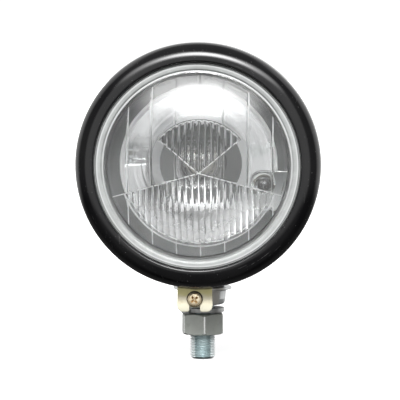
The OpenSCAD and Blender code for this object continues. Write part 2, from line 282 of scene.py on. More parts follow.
class Mat:
    """A small wrapper round a node tree, in object coordinates measured in metres."""

    def __init__(self, name):
        self.m = bpy.data.materials.new(name)
        self.m.use_nodes = True
        self.t = self.m.node_tree
        self.t.nodes.clear()
        self.out = self.add("ShaderNodeOutputMaterial")
        self.b = self.add("ShaderNodeBsdfPrincipled")
        self.link(self.b.outputs[0], self.out.inputs[0])
        self.co = self.add("ShaderNodeTexCoord").outputs["Object"]

    def add(self, kind, **kw):
        n = self.t.nodes.new(kind)
        for k, v in kw.items():
            setattr(n, k, v)
        return n

    def link(self, a, b):
        self.t.links.new(a, b)

    def scaled(self, sx, sy, sz, rot=(0, 0, 0)):
        n = self.add("ShaderNodeMapping")
        n.inputs["Scale"].default_value = (sx, sy, sz)
        n.inputs["Rotation"].default_value = rot
        self.link(self.co, n.inputs["Vector"])
        return n.outputs[0]

    def noise(self, scale, detail=3.0, rough=0.55, vec=None, distortion=0.0):
        n = self.add("ShaderNodeTexNoise")
        n.inputs["Scale"].default_value = scale
        n.inputs["Detail"].default_value = detail
        n.inputs["Roughness"].default_value = rough
        n.inputs["Distortion"].default_value = distortion
        self.link(vec or self.co, n.inputs["Vector"])
        return n.outputs["Fac"]

    def range(self, x, a, b, c, d, smooth=False):
        n = self.add("ShaderNodeMapRange")
        if smooth:
            n.interpolation_type = "SMOOTHSTEP"
        for k, v in zip((1, 2, 3, 4), (a, b, c, d)):
            n.inputs[k].default_value = v
        self.link(x, n.inputs[0])
        return n.outputs[0]

    def math(self, op, a, b=None):
        n = self.add("ShaderNodeMath", operation=op)
        for k, v in ((0, a), (1, b)):
            if v is None:
                continue
            if isinstance(v, (int, float)):
                n.inputs[k].default_value = v
            else:
                self.link(v, n.inputs[k])
        return n.outputs[0]

    def mix(self, fac, a, b):
        n = self.add("ShaderNodeMix", data_type="RGBA")
        if isinstance(fac, (int, float)):
            n.inputs[0].default_value = fac
        else:
            self.link(fac, n.inputs[0])
        for k, v in ((6, a), (7, b)):
            if isinstance(v, (tuple, list)):
                n.inputs[k].default_value = (*v[:3], 1)
            else:
                self.link(v, n.inputs[k])
        return n.outputs[2]

    def bump(self, height, strength, distance):
        n = self.add("ShaderNodeBump")
        n.inputs["Strength"].default_value = strength
        n.inputs["Distance"].default_value = distance
        self.link(height, n.inputs["Height"])
        self.link(n.outputs[0], self.b.inputs["Normal"])
        return n

    def set(self, **kw):
        for k, v in kw.items():
            s = self.b.inputs[k.replace("_", " ")]
            if isinstance(v, (int, float)):
                s.default_value = v
            elif isinstance(v, (tuple, list)):
                s.default_value = (*v[:3], 1)
            else:
                self.link(v, s)
        return self


def metal(name, c1, c2, rough=(0.2, 0.4), grain=(1, 1, 1), scale=700, bump=0.12, dirt=None, dirt_amount=0.35, bump_mm=0.02, stain=120, metallic=1.0, edge=1.0):
    """Plated or bare metal: two tones in patches, fine grain, dirt in blotches."""
    m = Mat(name)
    patch = m.noise(stain, 4, 0.6)
    fine = m.noise(scale, 3, 0.6, m.scaled(*grain))
    col = m.mix(m.range(patch, 0.35, 0.65, 0, 1), c1, c2)
    if dirt:
        spots = m.range(m.noise(stain * 2.7, 5, 0.65), 0.54, 0.72, 0, dirt_amount, True)
        col = m.mix(spots, col, dirt)
        r = m.math("ADD", m.range(fine, 0.3, 0.7, rough[0], rough[1]), m.math("MULTIPLY", spots, 0.3))
    else:
        r = m.range(fine, 0.3, 0.7, rough[0], rough[1])
    m.set(Base_Color=col, Metallic=metallic, Roughness=r, Specular_Tint=(edge, edge, edge))
    m.bump(fine, bump, bump_mm * MM)
    return m.m


def round_facing(m):
    """How far an upright cylinder's wall turns away, whatever its thread or fillets do: 0 ahead, 1 at the side."""
    sep = m.add("ShaderNodeSeparateXYZ")
    m.link(m.co, sep.inputs[0])
    com = m.add("ShaderNodeCombineXYZ")
    m.link(sep.outputs[0], com.inputs[0])
    m.link(sep.outputs[1], com.inputs[1])
    unit = m.add("ShaderNodeVectorMath", operation="NORMALIZE")
    m.link(com.outputs[0], unit.inputs[0])
    lw = m.add("ShaderNodeLayerWeight")
    lw.inputs["Blend"].default_value = 0.5
    m.link(unit.outputs[0], lw.inputs["Normal"])
    return lw.outputs["Facing"]


def plated_round(name, c1, c2, side, t, rough, metallic, dirt, bump=0.1, scale=700, side_metallic=0.22):
    """Zinc on an upright cylinder: bluish ahead, with a painted sheen that makes it whitish, lighter and less metallic
    where the wall turns away from the viewer.
    """
    m = Mat(name)
    patch = m.noise(120, 4, 0.6)
    fine = m.noise(scale, 3, 0.6)
    turn = round_facing(m)
    # painted sheen: lighter, less metallic colour where the wall turns away from the viewer, easing off again at the
    # very edge
    painted_side_sheen = m.math("MULTIPLY", m.range(turn, t[0], t[1], 0, 1, True), m.range(turn, 0.86, 0.97, 1, 0.4, True))
    col = m.mix(m.range(patch, 0.35, 0.65, 0, 1), c1, c2)
    col = m.mix(painted_side_sheen, col, side)
    spots = m.range(m.noise(324, 5, 0.65), 0.56, 0.74, 0, 0.28, True)
    col = m.mix(spots, col, dirt)
    m.set(Base_Color=col, Metallic=m.range(painted_side_sheen, 0, 1, metallic, side_metallic), Roughness=m.range(fine, 0.3, 0.7, *rough), Specular_Tint=(0.6, 0.6, 0.6))
    m.bump(fine, bump, 0.02 * MM)
    return m.m


def black_enamel():
    m = Mat("black_enamel")
    cloud = m.noise(45, 3, 0.5)
    peel = m.noise(650, 2, 0.5)
    hair = m.noise(90, 6, 0.7, m.scaled(9, 1.2, 1.2, (0.3, 0.9, 0.5)), 1.5)
    scratch_a = m.range(hair, 0.655, 0.675, 0, 1, True)
    specks = m.range(m.noise(1500, 1, 0.4), 0.76, 0.79, 0, 1, True)
    marks = m.math("MAXIMUM", m.math("MULTIPLY", scratch_a, 0.5), specks)
    sep = m.add("ShaderNodeSeparateXYZ")
    m.link(m.co, sep.inputs[0])
    up = m.math("SUBTRACT", sep.outputs[2], LZ * MM)
    rad = m.math("SQRT", m.math("ADD", m.math("MULTIPLY", sep.outputs[0], sep.outputs[0]), m.math("MULTIPLY", up, up)))
    ang = m.math("MULTIPLY", m.math("ARCTAN2", up, sep.outputs[0]), 180 / math.pi)
    broken = m.range(m.noise(240, 4, 0.7), 0.44, 0.60, 0, 1, True)
    for rub_r, rub_a, rub_w, rub_s in ((52.15, -56, 9, 0.9), (53.4, -47, 5, 0.5), (51.3, -66, 4, 0.5), (54.2, -150, 6, 0.35), (49.9, 68, 9, 0.55), (50.6, 58, 6, 0.4)):
        near = m.range(m.math("ABSOLUTE", m.math("SUBTRACT", rad, rub_r * MM)), 0.05 * MM, 0.17 * MM, rub_s, 0, True)
        along = m.range(m.math("ABSOLUTE", m.math("SUBTRACT", ang, rub_a)), rub_w * 0.5, rub_w, 1, 0, True)
        marks = m.math("MAXIMUM", marks, m.math("MULTIPLY", m.math("MULTIPLY", near, along), broken))
    col = m.mix(m.range(cloud, 0.35, 0.65, 0, 1), (0.0035, 0.0035, 0.004), (0.0065, 0.0064, 0.0068))
    col = m.mix(m.math("MULTIPLY", marks, 0.5), col, (0.12, 0.12, 0.12))
    rough = m.math("ADD", m.range(cloud, 0.3, 0.7, 0.10, 0.19), m.math("MULTIPLY", marks, 0.25))
    m.set(Base_Color=col, Roughness=rough, IOR=1.5)
    h = m.math("SUBTRACT", m.math("MULTIPLY", peel, 0.6), m.math("MULTIPLY", scratch_a, 0.5))
    m.bump(h, 0.10, 0.04 * MM)
    return m.m


def rubber(name, c=(0.018, 0.018, 0.019)):
    m = Mat(name)
    g = m.noise(900, 3, 0.6)
    d = m.noise(130, 4, 0.6)
    m.set(Base_Color=m.mix(m.range(d, 0.4, 0.7, 0, 0.6), c, (0.07, 0.068, 0.064)), Roughness=m.range(g, 0.3, 0.7, 0.5, 0.75))
    m.bump(g, 0.2, 0.04 * MM)
    return m.m


def phenolic():
    m = Mat("phenolic")
    f = m.noise(350, 4, 0.6, m.scaled(1, 6, 1))
    m.set(Base_Color=m.mix(m.range(f, 0.35, 0.65, 0, 1), (0.030, 0.017, 0.011), (0.062, 0.034, 0.020)), Roughness=m.range(f, 0.3, 0.7, 0.35, 0.55))
    m.bump(f, 0.12, 0.03 * MM)
    return m.m


def fibre():
    m = Mat("fibre_washer")
    f = m.noise(800, 4, 0.6)
    sep = m.add("ShaderNodeSeparateXYZ")
    m.link(m.co, sep.inputs[0])
    # painted light and shade: the washer's lower part turns a light tan, so only its upper crescent stays dark, a
    # painted shadow under the screw head
    painted_light_low = m.range(sep.outputs[2], 0.0022, 0.0062, 0.75, 0, True)
    col = m.mix(m.range(f, 0.35, 0.65, 0, 1), (0.025, 0.02, 0.016), (0.06, 0.048, 0.038))
    m.set(Base_Color=m.mix(painted_light_low, col, (0.34, 0.27, 0.15)), Roughness=m.range(f, 0.3, 0.7, 0.55, 0.8))
    m.bump(f, 0.2, 0.03 * MM)
    return m.m


def glass(name, tint=(0.97, 0.985, 0.98), rough=0.0, ripple=0.05, ripple_scale=60, seed_dust=0.0, painted_haze=0.0):
    m = Mat(name)
    r = m.noise(ripple_scale, 2, 0.4)
    dust = m.noise(420, 5, 0.7)
    # painted_haze: in patches a little of the light scatters off the glass instead of passing, laying a faint painted
    # light over it
    m.set(Base_Color=tint, Roughness=m.range(dust, 0.55, 0.75, rough, rough + seed_dust), IOR=1.5,
          Transmission_Weight=m.range(m.noise(45, 4, 0.6), 0.3, 0.7, 1 - painted_haze, 1 - 0.5 * painted_haze) if painted_haze else 1.0)
    m.bump(r, ripple, 0.25 * MM)
    return m.m


def mirror():
    m = Mat("reflector_silver")
    haze = m.noise(70, 4, 0.6)
    spots = m.range(m.noise(600, 3, 0.6), 0.66, 0.72, 0, 1, True)
    sep = m.add("ShaderNodeSeparateXYZ")
    m.link(m.co, sep.inputs[0])
    up = m.math("SUBTRACT", sep.outputs[2], LZ * MM)
    rad = m.math("SQRT", m.math("ADD", m.math("MULTIPLY", sep.outputs[0], sep.outputs[0]), m.math("MULTIPLY", up, up)))
    worn = m.range(rad, 0.0215, 0.0262, 0.27, 0, True)
    # painted shade: a greyer silver in a ring of radii about 24 to 33 mm towards the sides, mostly on the right,
    # standing in for darker reflections
    side = m.range(m.math("DIVIDE", m.math("ABSOLUTE", sep.outputs[0]), rad), 0.62, 0.90, 0, 1, True)
    wave = m.math("ADD", rad, m.range(m.noise(110, 3, 0.6), 0.3, 0.7, -0.0008, 0.0008))
    dim_band_radii = m.math("MULTIPLY", m.range(wave, 0.0242, 0.0254, 0, 1, True), m.range(wave, 0.0322, 0.0334, 1, 0, True))
    share = m.range(sep.outputs[0], -0.02, 0.02, 0.0, 0.9)
    painted_dim_band = m.math("MULTIPLY", m.math("MULTIPLY", side, dim_band_radii), share)
    silver = m.mix(painted_dim_band, (0.95, 0.955, 0.96), (0.74, 0.745, 0.75))
    m.set(Base_Color=m.mix(m.math("MULTIPLY", spots, 0.3), silver, (0.62, 0.61, 0.60)), Metallic=1.0,
          Roughness=m.math("ADD", m.range(haze, 0.35, 0.7, 0.05, 0.10), worn))
    m.bump(m.noise(160, 2, 0.5), 0.06, 0.1 * MM)
    return m.m


def frosted():
    """The lens's ground border, with its fine radial knurl."""
    m = Mat("glass_frosted")
    n = m.noise(260, 3, 0.5)
    sep = m.add("ShaderNodeSeparateXYZ")
    m.link(m.co, sep.inputs[0])
    up = m.math("SUBTRACT", sep.outputs[2], LZ * MM)
    ang = m.math("ARCTAN2", up, sep.outputs[0])
    knurl = m.math("SINE", m.math("MULTIPLY", ang, 300.0))
    tone = m.math("ADD", m.range(n, 0.35, 0.65, 0, 0.8), m.math("MULTIPLY", knurl, 0.16))
    xo = sep.outputs[0]
    rad = m.math("SQRT", m.math("ADD", m.math("MULTIPLY", xo, xo), m.math("MULTIPLY", up, up)))
    cloud = m.range(m.noise(170, 4, 0.65), 0.36, 0.64, 0, 1)
    col = m.mix(tone, (0.30, 0.31, 0.306), (0.36, 0.37, 0.367))
    col = m.mix(m.math("MULTIPLY", cloud, 0.35), col, (0.22, 0.227, 0.224))
    # painted rings: the lighter lines at 46.75 and 44.1 mm are painted highlights, the dark line at 47.4 mm is painted
    # shade in the border's groove
    for at, half, fac, painted_ring_tone in ((46.75, 0.42, 0.9, (0.46, 0.47, 0.467)), (44.1, 0.38, 0.7, (0.42, 0.43, 0.427)), (47.4, 0.20, 0.85, (0.06, 0.062, 0.062))):
        off = m.math("ABSOLUTE", m.math("SUBTRACT", rad, at * MM))
        col = m.mix(m.range(off, half * 0.4 * MM, half * MM, fac, 0, True), col, painted_ring_tone)
    m.set(Base_Color=col, Roughness=m.range(n, 0.3, 0.7, 0.42, 0.55),
          IOR=1.5, Coat_Weight=0.35, Coat_Roughness=0.15)
    m.bump(knurl, 0.10, 0.05 * MM)
    return m.m


def lower_flute_painted_light():
    """The flutes of the lower sector, with a painted light: whitish glass, less clear towards their lower ends."""
    m = Mat("glass_lower_painted_light")
    sep = m.add("ShaderNodeSeparateXYZ")
    m.link(m.co, sep.inputs[0])
    up = m.math("SUBTRACT", sep.outputs[2], LZ * MM)
    patch = m.range(m.noise(260, 4, 0.65), 0.32, 0.68, -0.07, 0.07)
    dust = m.noise(420, 5, 0.7)
    m.set(Base_Color=m.mix(m.range(dust, 0.35, 0.65, 0, 1), (0.93, 0.935, 0.935), (1.0, 1.0, 1.0)), IOR=1.5,
          Roughness=m.range(dust, 0.55, 0.75, 0.0, 0.05),
          Transmission_Weight=m.math("ADD", m.range(up, -0.021, -0.012, 0.70, 0.93), patch))
    m.bump(m.noise(70, 2, 0.4), 0.05, 0.25 * MM)
    return m.m


def line_highlight_glass():
    """The rounded-over edges between the lens's sectors, which catch the light: their brightness is painted on as an
    opaque near-white highlight.
    """
    m = Mat("glass_line")
    n = m.noise(400, 2, 0.5)
    m.set(Base_Color=m.mix(m.range(n, 0.35, 0.65, 0, 1), (0.80, 0.81, 0.81), (0.96, 0.97, 0.97)), Roughness=m.range(n, 0.3, 0.7, 0.3, 0.5), IOR=1.5)
    m.bump(n, 0.1, 0.04 * MM)
    return m.m


def satin(name, c1, c2, metallic, rough):
    """Lacquered, unpolished metal round the reflector's mouth."""
    m = Mat(name)
    n = m.noise(60, 3, 0.5)
    g = m.noise(420, 3, 0.6)
    m.set(Base_Color=m.mix(m.range(n, 0.35, 0.65, 0, 1), c1, c2), Metallic=metallic, Roughness=m.range(g, 0.3, 0.7, rough, rough + 0.1))
    m.bump(g, 0.08, 0.04 * MM)
    return m.m


def clip_plating():
    """Yellow passivated zinc, with painted light and shade: lighter towards the legs, an olive painted reflection of
    the dark rim towards the root, and a painted shadow line along the root.
    """
    m = Mat("zinc_yellow")
    sep = m.add("ShaderNodeSeparateXYZ")
    m.link(m.co, sep.inputs[0])
    cloud = m.noise(160, 4, 0.6)
    fine = m.noise(800, 3, 0.6)
    wob = m.math("MULTIPLY", m.range(cloud, 0.3, 0.7, -1, 1), 0.0009)
    z = m.math("ADD", sep.outputs[2], wob)
    # painted light by height: lighter low down, and olive towards the root, a painted reflection of the dark rim
    low = m.range(z, 0.0005, 0.0048, 0, 1, True)
    top = m.range(z, 0.0058, 0.0085, 0, 1, True)
    col = m.mix(low, (0.56, 0.54, 0.43), (0.61, 0.57, 0.43))
    col = m.mix(top, col, (0.60, 0.55, 0.27))
    up = m.math("SUBTRACT", sep.outputs[2], LZ * MM)
    xo = sep.outputs[0]
    rad = m.math("SQRT", m.math("ADD", m.math("MULTIPLY", xo, xo), m.math("MULTIPLY", up, up)))
    # painted shadow: a dark band along the root, under the rim
    shadow_edge_rad = m.math("ADD", rad, m.math("MULTIPLY", m.range(cloud, 0.3, 0.7, -1, 1), 0.0002))
    col = m.mix(m.range(shadow_edge_rad, 58.35 * MM, 58.95 * MM, 0.85, 0, True), col, (0.05, 0.045, 0.03))
    spots = m.range(m.noise(330, 5, 0.65), 0.56, 0.72, 0, 0.3, True)
    col = m.mix(spots, col, (0.36, 0.31, 0.17))
    m.set(Base_Color=col, Metallic=0.5, Roughness=m.range(fine, 0.3, 0.7, 0.34, 0.46))
    m.bump(fine, 0.12, 0.02 * MM)
    return m.m


M = {
    "black_enamel": black_enamel(),
    # the stud's third colour is a painted sheen on the sides of its wall
    "zinc_stud": plated_round("zinc_stud", (0.38, 0.49, 0.51), (0.54, 0.64, 0.65), (0.86, 0.92, 0.92), (0.21, 0.30), (0.30, 0.44), 0.75, (0.20, 0.25, 0.25)),
    "zinc_bright": metal("zinc_bright", (0.72, 0.74, 0.74), (0.86, 0.88, 0.88), (0.16, 0.28), dirt=(0.42, 0.41, 0.38), dirt_amount=0.25, metallic=0.9),
    "zinc_dull": metal("zinc_dull", (0.57, 0.595, 0.555), (0.65, 0.675, 0.63), (0.34, 0.44), dirt=(0.40, 0.41, 0.37), scale=500, stain=90, metallic=0.5, edge=0.35),
    "zinc_worn": metal("zinc_worn", (0.70, 0.72, 0.70), (0.80, 0.82, 0.80), (0.2, 0.3), metallic=0.8, bump=0.05),
    "zinc_dark": metal("zinc_dark", (0.20, 0.205, 0.20), (0.30, 0.305, 0.30), (0.34, 0.48), metallic=0.6),
    "spring_steel": metal("spring_steel", (0.40, 0.41, 0.40), (0.56, 0.57, 0.56), (0.32, 0.46), dirt=(0.20, 0.20, 0.19), metallic=0.55),
    "zinc_yellow": clip_plating(),
    "zinc_yellow_edge": metal("zinc_yellow_edge", (0.20, 0.18, 0.09), (0.30, 0.27, 0.15), (0.4, 0.55), metallic=0.5),
    # the saddle cup's third colour is a painted sheen on the sides of its wall
    "zinc_satin": plated_round("zinc_satin", (0.76, 0.74, 0.68), (0.86, 0.84, 0.78), (0.90, 0.92, 0.915), (0.28, 0.34), (0.16, 0.24), 0.25, (0.50, 0.49, 0.43), 0.03, side_metallic=0.5),
    # a darker copy of spring steel, painted shade for the washer's top
    "spring_steel_painted_shade": metal("spring_steel_painted_shade", (0.10, 0.10, 0.10), (0.16, 0.16, 0.155), (0.4, 0.55), metallic=0.4),
    # a darker copy of the gold plating, painted shade for the cross recess
    "screw_recess_painted_shade": metal("screw_recess_painted_shade", (0.38, 0.24, 0.10), (0.52, 0.34, 0.15), (0.4, 0.55), metallic=0.3, stain=500),
    "screw_gold": metal("screw_gold", (0.78, 0.62, 0.38), (0.95, 0.84, 0.62), (0.24, 0.36), dirt=(0.26, 0.17, 0.07), dirt_amount=0.5, stain=330, metallic=0.6),
    "rubber_black": rubber("rubber_black"),
    # the lens glass carries a faint painted haze of light (its last argument)
    "lens_glass": glass("lens_glass", (0.995, 1.0, 0.998), 0.0, 0.05, 70, 0.03, 0.018),
    "bulb_glass": glass("bulb_glass", (1.0, 1.0, 1.0), 0.0, 0.02, 90),
    "stem_glass": glass("stem_glass", (0.93, 0.95, 0.94), 0.02, 0.15, 300),
    "glass_frosted": frosted(),
    "glass_line": line_highlight_glass(),
    # the lip's light tone is painted light
    "reflector_lip": satin("reflector_lip", (0.80, 0.805, 0.805), (0.93, 0.935, 0.935), 0.15, 0.28),
    "glass_lower_painted_light": lower_flute_painted_light(),
    "glass_flange": satin("glass_flange", (0.25, 0.253, 0.252), (0.32, 0.323, 0.322), 0.0, 0.45),
    "reflector_ledge": satin("reflector_ledge", (0.150, 0.153, 0.153), (0.198, 0.201, 0.201), 0.0, 0.40),
    "reflector_pocket": satin("reflector_pocket", (0.72, 0.725, 0.725), (0.84, 0.845, 0.845), 0.15, 0.36),
    "reflector_base": satin("reflector_base", (0.085, 0.088, 0.087), (0.125, 0.128, 0.127), 0.0, 0.42),
    "reflector_silver": mirror(),
    "brass_plain": metal("brass_plain", (0.72, 0.52, 0.22), (0.86, 0.68, 0.34), (0.22, 0.36), dirt=(0.30, 0.20, 0.08)),
    # dark grey nickel for the bulb and pilot caps: a painted shade that keeps the inside of the lamp dark
    "brass_nickel": metal("brass_nickel", (0.30, 0.29, 0.26), (0.40, 0.385, 0.35), (0.3, 0.45), dirt=(0.18, 0.16, 0.12)),
    "phenolic": phenolic(),
    "fibre_washer": fibre(),
    "solder": metal("solder", (0.50, 0.50, 0.49), (0.66, 0.66, 0.65), (0.35, 0.5)),
    "tungsten": metal("tungsten", (0.25, 0.25, 0.27), (0.38, 0.38, 0.40), (0.3, 0.45)),
}
NODE_MATERIAL = {
    "clamp_dome": "zinc_bright", "screw_lug": "zinc_yellow", "lug_nut": "zinc_bright", "dust_seal": "rubber_black",
    "rim_hook": "black_enamel", "lens_gasket": "rubber_black", "retaining_clips": "spring_steel",
    "holder_collar": "zinc_dark", "screw_washer": "fibre_washer", "bulb_holder": "zinc_dark", "holder_gasket": "rubber_black",
    "holder_insulator": "phenolic", "live_terminal": "brass_plain", "earth_terminal": "zinc_bright", "bulb_cap": "brass_nickel",
    "bulb_glass": "bulb_glass", "bulb_contact": "solder", "filament_mount": "stem_glass", "contact_plunger": "brass_plain",
    "pilot_holder": "zinc_bright", "pilot_insulator": "phenolic", "pilot_terminal": "brass_plain", "pilot_cap": "brass_nickel",
    "pilot_glass": "bulb_glass", "mounting_nut": "zinc_dull", "cable_grommet": "rubber_black",
}


def dress(node):
    o = NODES[node]
    o.data.materials.clear()
    o.data.materials.append(M[NODE_MATERIAL[node]])
    return o


def refine(node, width, body, seg=2, angle=28, name=None):
    """A copy of a CAD node with its hard edges rounded by width mm, in that node's place."""
    src = NODES[node]
    me = src.data.copy()
    bm = bmesh.new()
    bm.from_mesh(me)
    bmesh.ops.remove_doubles(bm, verts=bm.verts, dist=2e-6)
    bmesh.ops.dissolve_limit(bm, angle_limit=math.radians(0.6), verts=bm.verts, edges=bm.edges)
    hard = [e for e in bm.edges if len(e.link_faces) == 2 and e.calc_face_angle(0) > math.radians(angle)]
    if width > 0 and hard:
        bmesh.ops.bevel(bm, geom=hard, offset=width * MM, offset_type="OFFSET", segments=seg, profile=0.5, affect="EDGES", clamp_overlap=True)
    bmesh.ops.recalc_face_normals(bm, faces=bm.faces)
    fresh = bpy.data.meshes.new(name or node + "_piece")
    bm.to_mesh(fresh)
    bm.free()
    bpy.data.meshes.remove(me)
    for p in fresh.polygons:
        p.use_smooth = True
    fresh.set_sharp_from_angle(angle=math.radians(40))
    o = bpy.data.objects.new(name or node + "_piece", fresh)
    bpy.context.scene.collection.objects.link(o)
    fresh.materials.append(M[NODE_MATERIAL[node]])
    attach(o, body)
    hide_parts(node)
    return o


for key in NODE_MATERIAL:
    dress(key)

# ------------------------------------------------------------------ rim

RIM_R, LIP_R, SHEET = 57.5, 48.3, 1.0
CROWN_R, CROWN = 49.3, 8.2


def arc(cx, cy, r, a0, a1, n):
    return [(cx + r * math.cos(math.radians(a0 + (a1 - a0) * i / n)), cy + r * math.sin(math.radians(a0 + (a1 - a0) * i / n))) for i in range(n + 1)]


rim_profile = ([(RIM_R - 0.12, 29.0), (RIM_R, 29.25)] + arc(CROWN_R, 38, CROWN, 0, 90, 40) + arc(CROWN_R, 38 + CROWN - 1, 1.0, 100, 180, 12)
               + [(LIP_R, 43.75), (LIP_R + 0.12, 43.6), (CROWN_R, 43.6)] + arc(CROWN_R, 38, CROWN - 1, 90, 0, 24) + [(RIM_R - 1, 29.25), (RIM_R - 0.88, 29.0)])
rim = revolve("rim_shell", rim_profile, lamp, M["black_enamel"], "front", "rim", n=288, sharp=40)

# ------------------------------------------------------------------ lens

DOME_R, DOME_H, LENS_U, LENS_R = 44.4, 12.0, 43.45, 50.8
SPH = (DOME_R ** 2 + DOME_H ** 2) / (2 * DOME_H)
SPH_C = LENS_U + DOME_H - SPH
INNER = SPH - 3.0
FLUTED_R = 41.5
PITCH = 11.05
MID_X = 1.35
STAR = (MID_X, -2.8)
ARC_R, FIELD_R = 24.0, 36.6
LOWER, UPPER = math.radians(15.9), math.radians(39.5)


def front_u(r):
    return SPH_C + math.sqrt(SPH * SPH - r * r)


def back_u(r):
    return SPH_C + math.sqrt(INNER * INNER - r * r)


def smooth01(t):
    t = max(0.0, min(1.0, t))
    return t * t * (3 - 2 * t)


def ridge(d, w):
    """1 on a line and 0 at w from it, with a rounded top."""
    return math.cos(math.pi / 2 * min(1.0, abs(d) / w)) ** 1.5


def star_side(x, y):
    """Signed distances from the lower and the upper rays of the star, and from its arc."""
    sx, sy = abs(x - STAR[0]), y - STAR[1]
    lower = sy * math.cos(LOWER) + sx * math.sin(LOWER)
    upper = sy * math.cos(UPPER) - sx * math.sin(UPPER)
    return lower, upper, math.hypot(sx, sy) - ARC_R


def lens_relief(x, y):
    """How far the inside of the lens stands proud of its sphere, in mm."""
    lo, hi, out = star_side(x, y)
    rc = math.hypot(x - MID_X, y)
    fine = (x - MID_X) / (PITCH / 4)
    fine = (fine - math.floor(fine)) * 2 - 1
    wide = (x - MID_X) / PITCH
    cell = wide - math.floor(wide)
    wob = 0.5 * math.sin(1.9 * y + 2.3 * math.sin(0.9 * x)) + 0.5 * math.sin(3.7 * y - 1.7 * x)
    flute = (0.46 if y > STAR[1] else 0.41) * (1 - fine * fine) + 0.05 * math.cos(3 * math.pi * fine) + 0.028 * wob
    lower = smooth01((-lo - 0.15) / 0.4) * smooth01((FIELD_R - rc) / 0.5)
    upper = smooth01((hi - 0.15) / 0.4) * smooth01((-out) / 0.5)
    inside = max(lower, upper)
    h = 0.30 * (1 - inside) + flute * inside + 0.05 * (1 - inside) * (1 - (2 * cell - 1) ** 2)
    side = min(cell, 1 - cell) * PITCH
    h += 0.16 * ridge(side, 0.42) * (1 - inside)
    h += 0.20 * ridge(lo, 0.42)
    if hi > -0.5 and out < 0.3 and y > STAR[1]:
        h += 0.18 * ridge(hi, 0.42)
    if hi > -0.3 and y > STAR[1]:
        h += 0.18 * ridge(out, 0.45)
    if lo < 0:
        h += 0.16 * ridge(rc - FIELD_R, 0.45)
    return h * smooth01((FLUTED_R - 0.3 - math.hypot(x, y)) / 1.2)


def lens_line(x, y):
    """True on the thin bright edges between the sectors."""
    lo, hi, out = star_side(x, y)
    rc = math.hypot(x - MID_X, y)
    fine = (x - MID_X) / (PITCH / 4)
    dash = abs(fine - math.floor(fine) - 0.5) > 0.12
    if abs(lo) < 0.27 and (dash or rc > FIELD_R):
        return True
    if abs(hi) < 0.22 and out < 0 and y > STAR[1] and dash:
        return True
    if abs(out) < 0.25 and hi > 0 and y > STAR[1] and dash:
        return True
    if lo < 0 and abs(rc - FIELD_R) < 0.32:
        return True
    turn = math.atan2(y, x - MID_X)
    if lo < -0.8 and abs(rc - FIELD_R + 1.55 - 0.15 * math.sin(23 * turn)) < 0.26 and math.sin(31 * turn + 2 * math.sin(7 * turn)) > -0.75:
        return True
    wide = (x - MID_X) / PITCH
    at = (wide - math.floor(wide)) * PITCH
    far = abs(x - MID_X)
    if not 0 < at < 0.56 or far > 3.2 * PITCH:
        return False
    return rc > FIELD_R - 0.6 and (y < 0 or far > 1.5 * PITCH) or y > 0 and far > 1.5 * PITCH and rc > (29 if far < 2.5 * PITCH else 34.5)


def lens_lower_flutes(x, y):
    """True in the lower sector's flutes."""
    return star_side(x, y)[0] < -0.3 and math.hypot(x - MID_X, y) < FIELD_R - 0.3 and y < -6


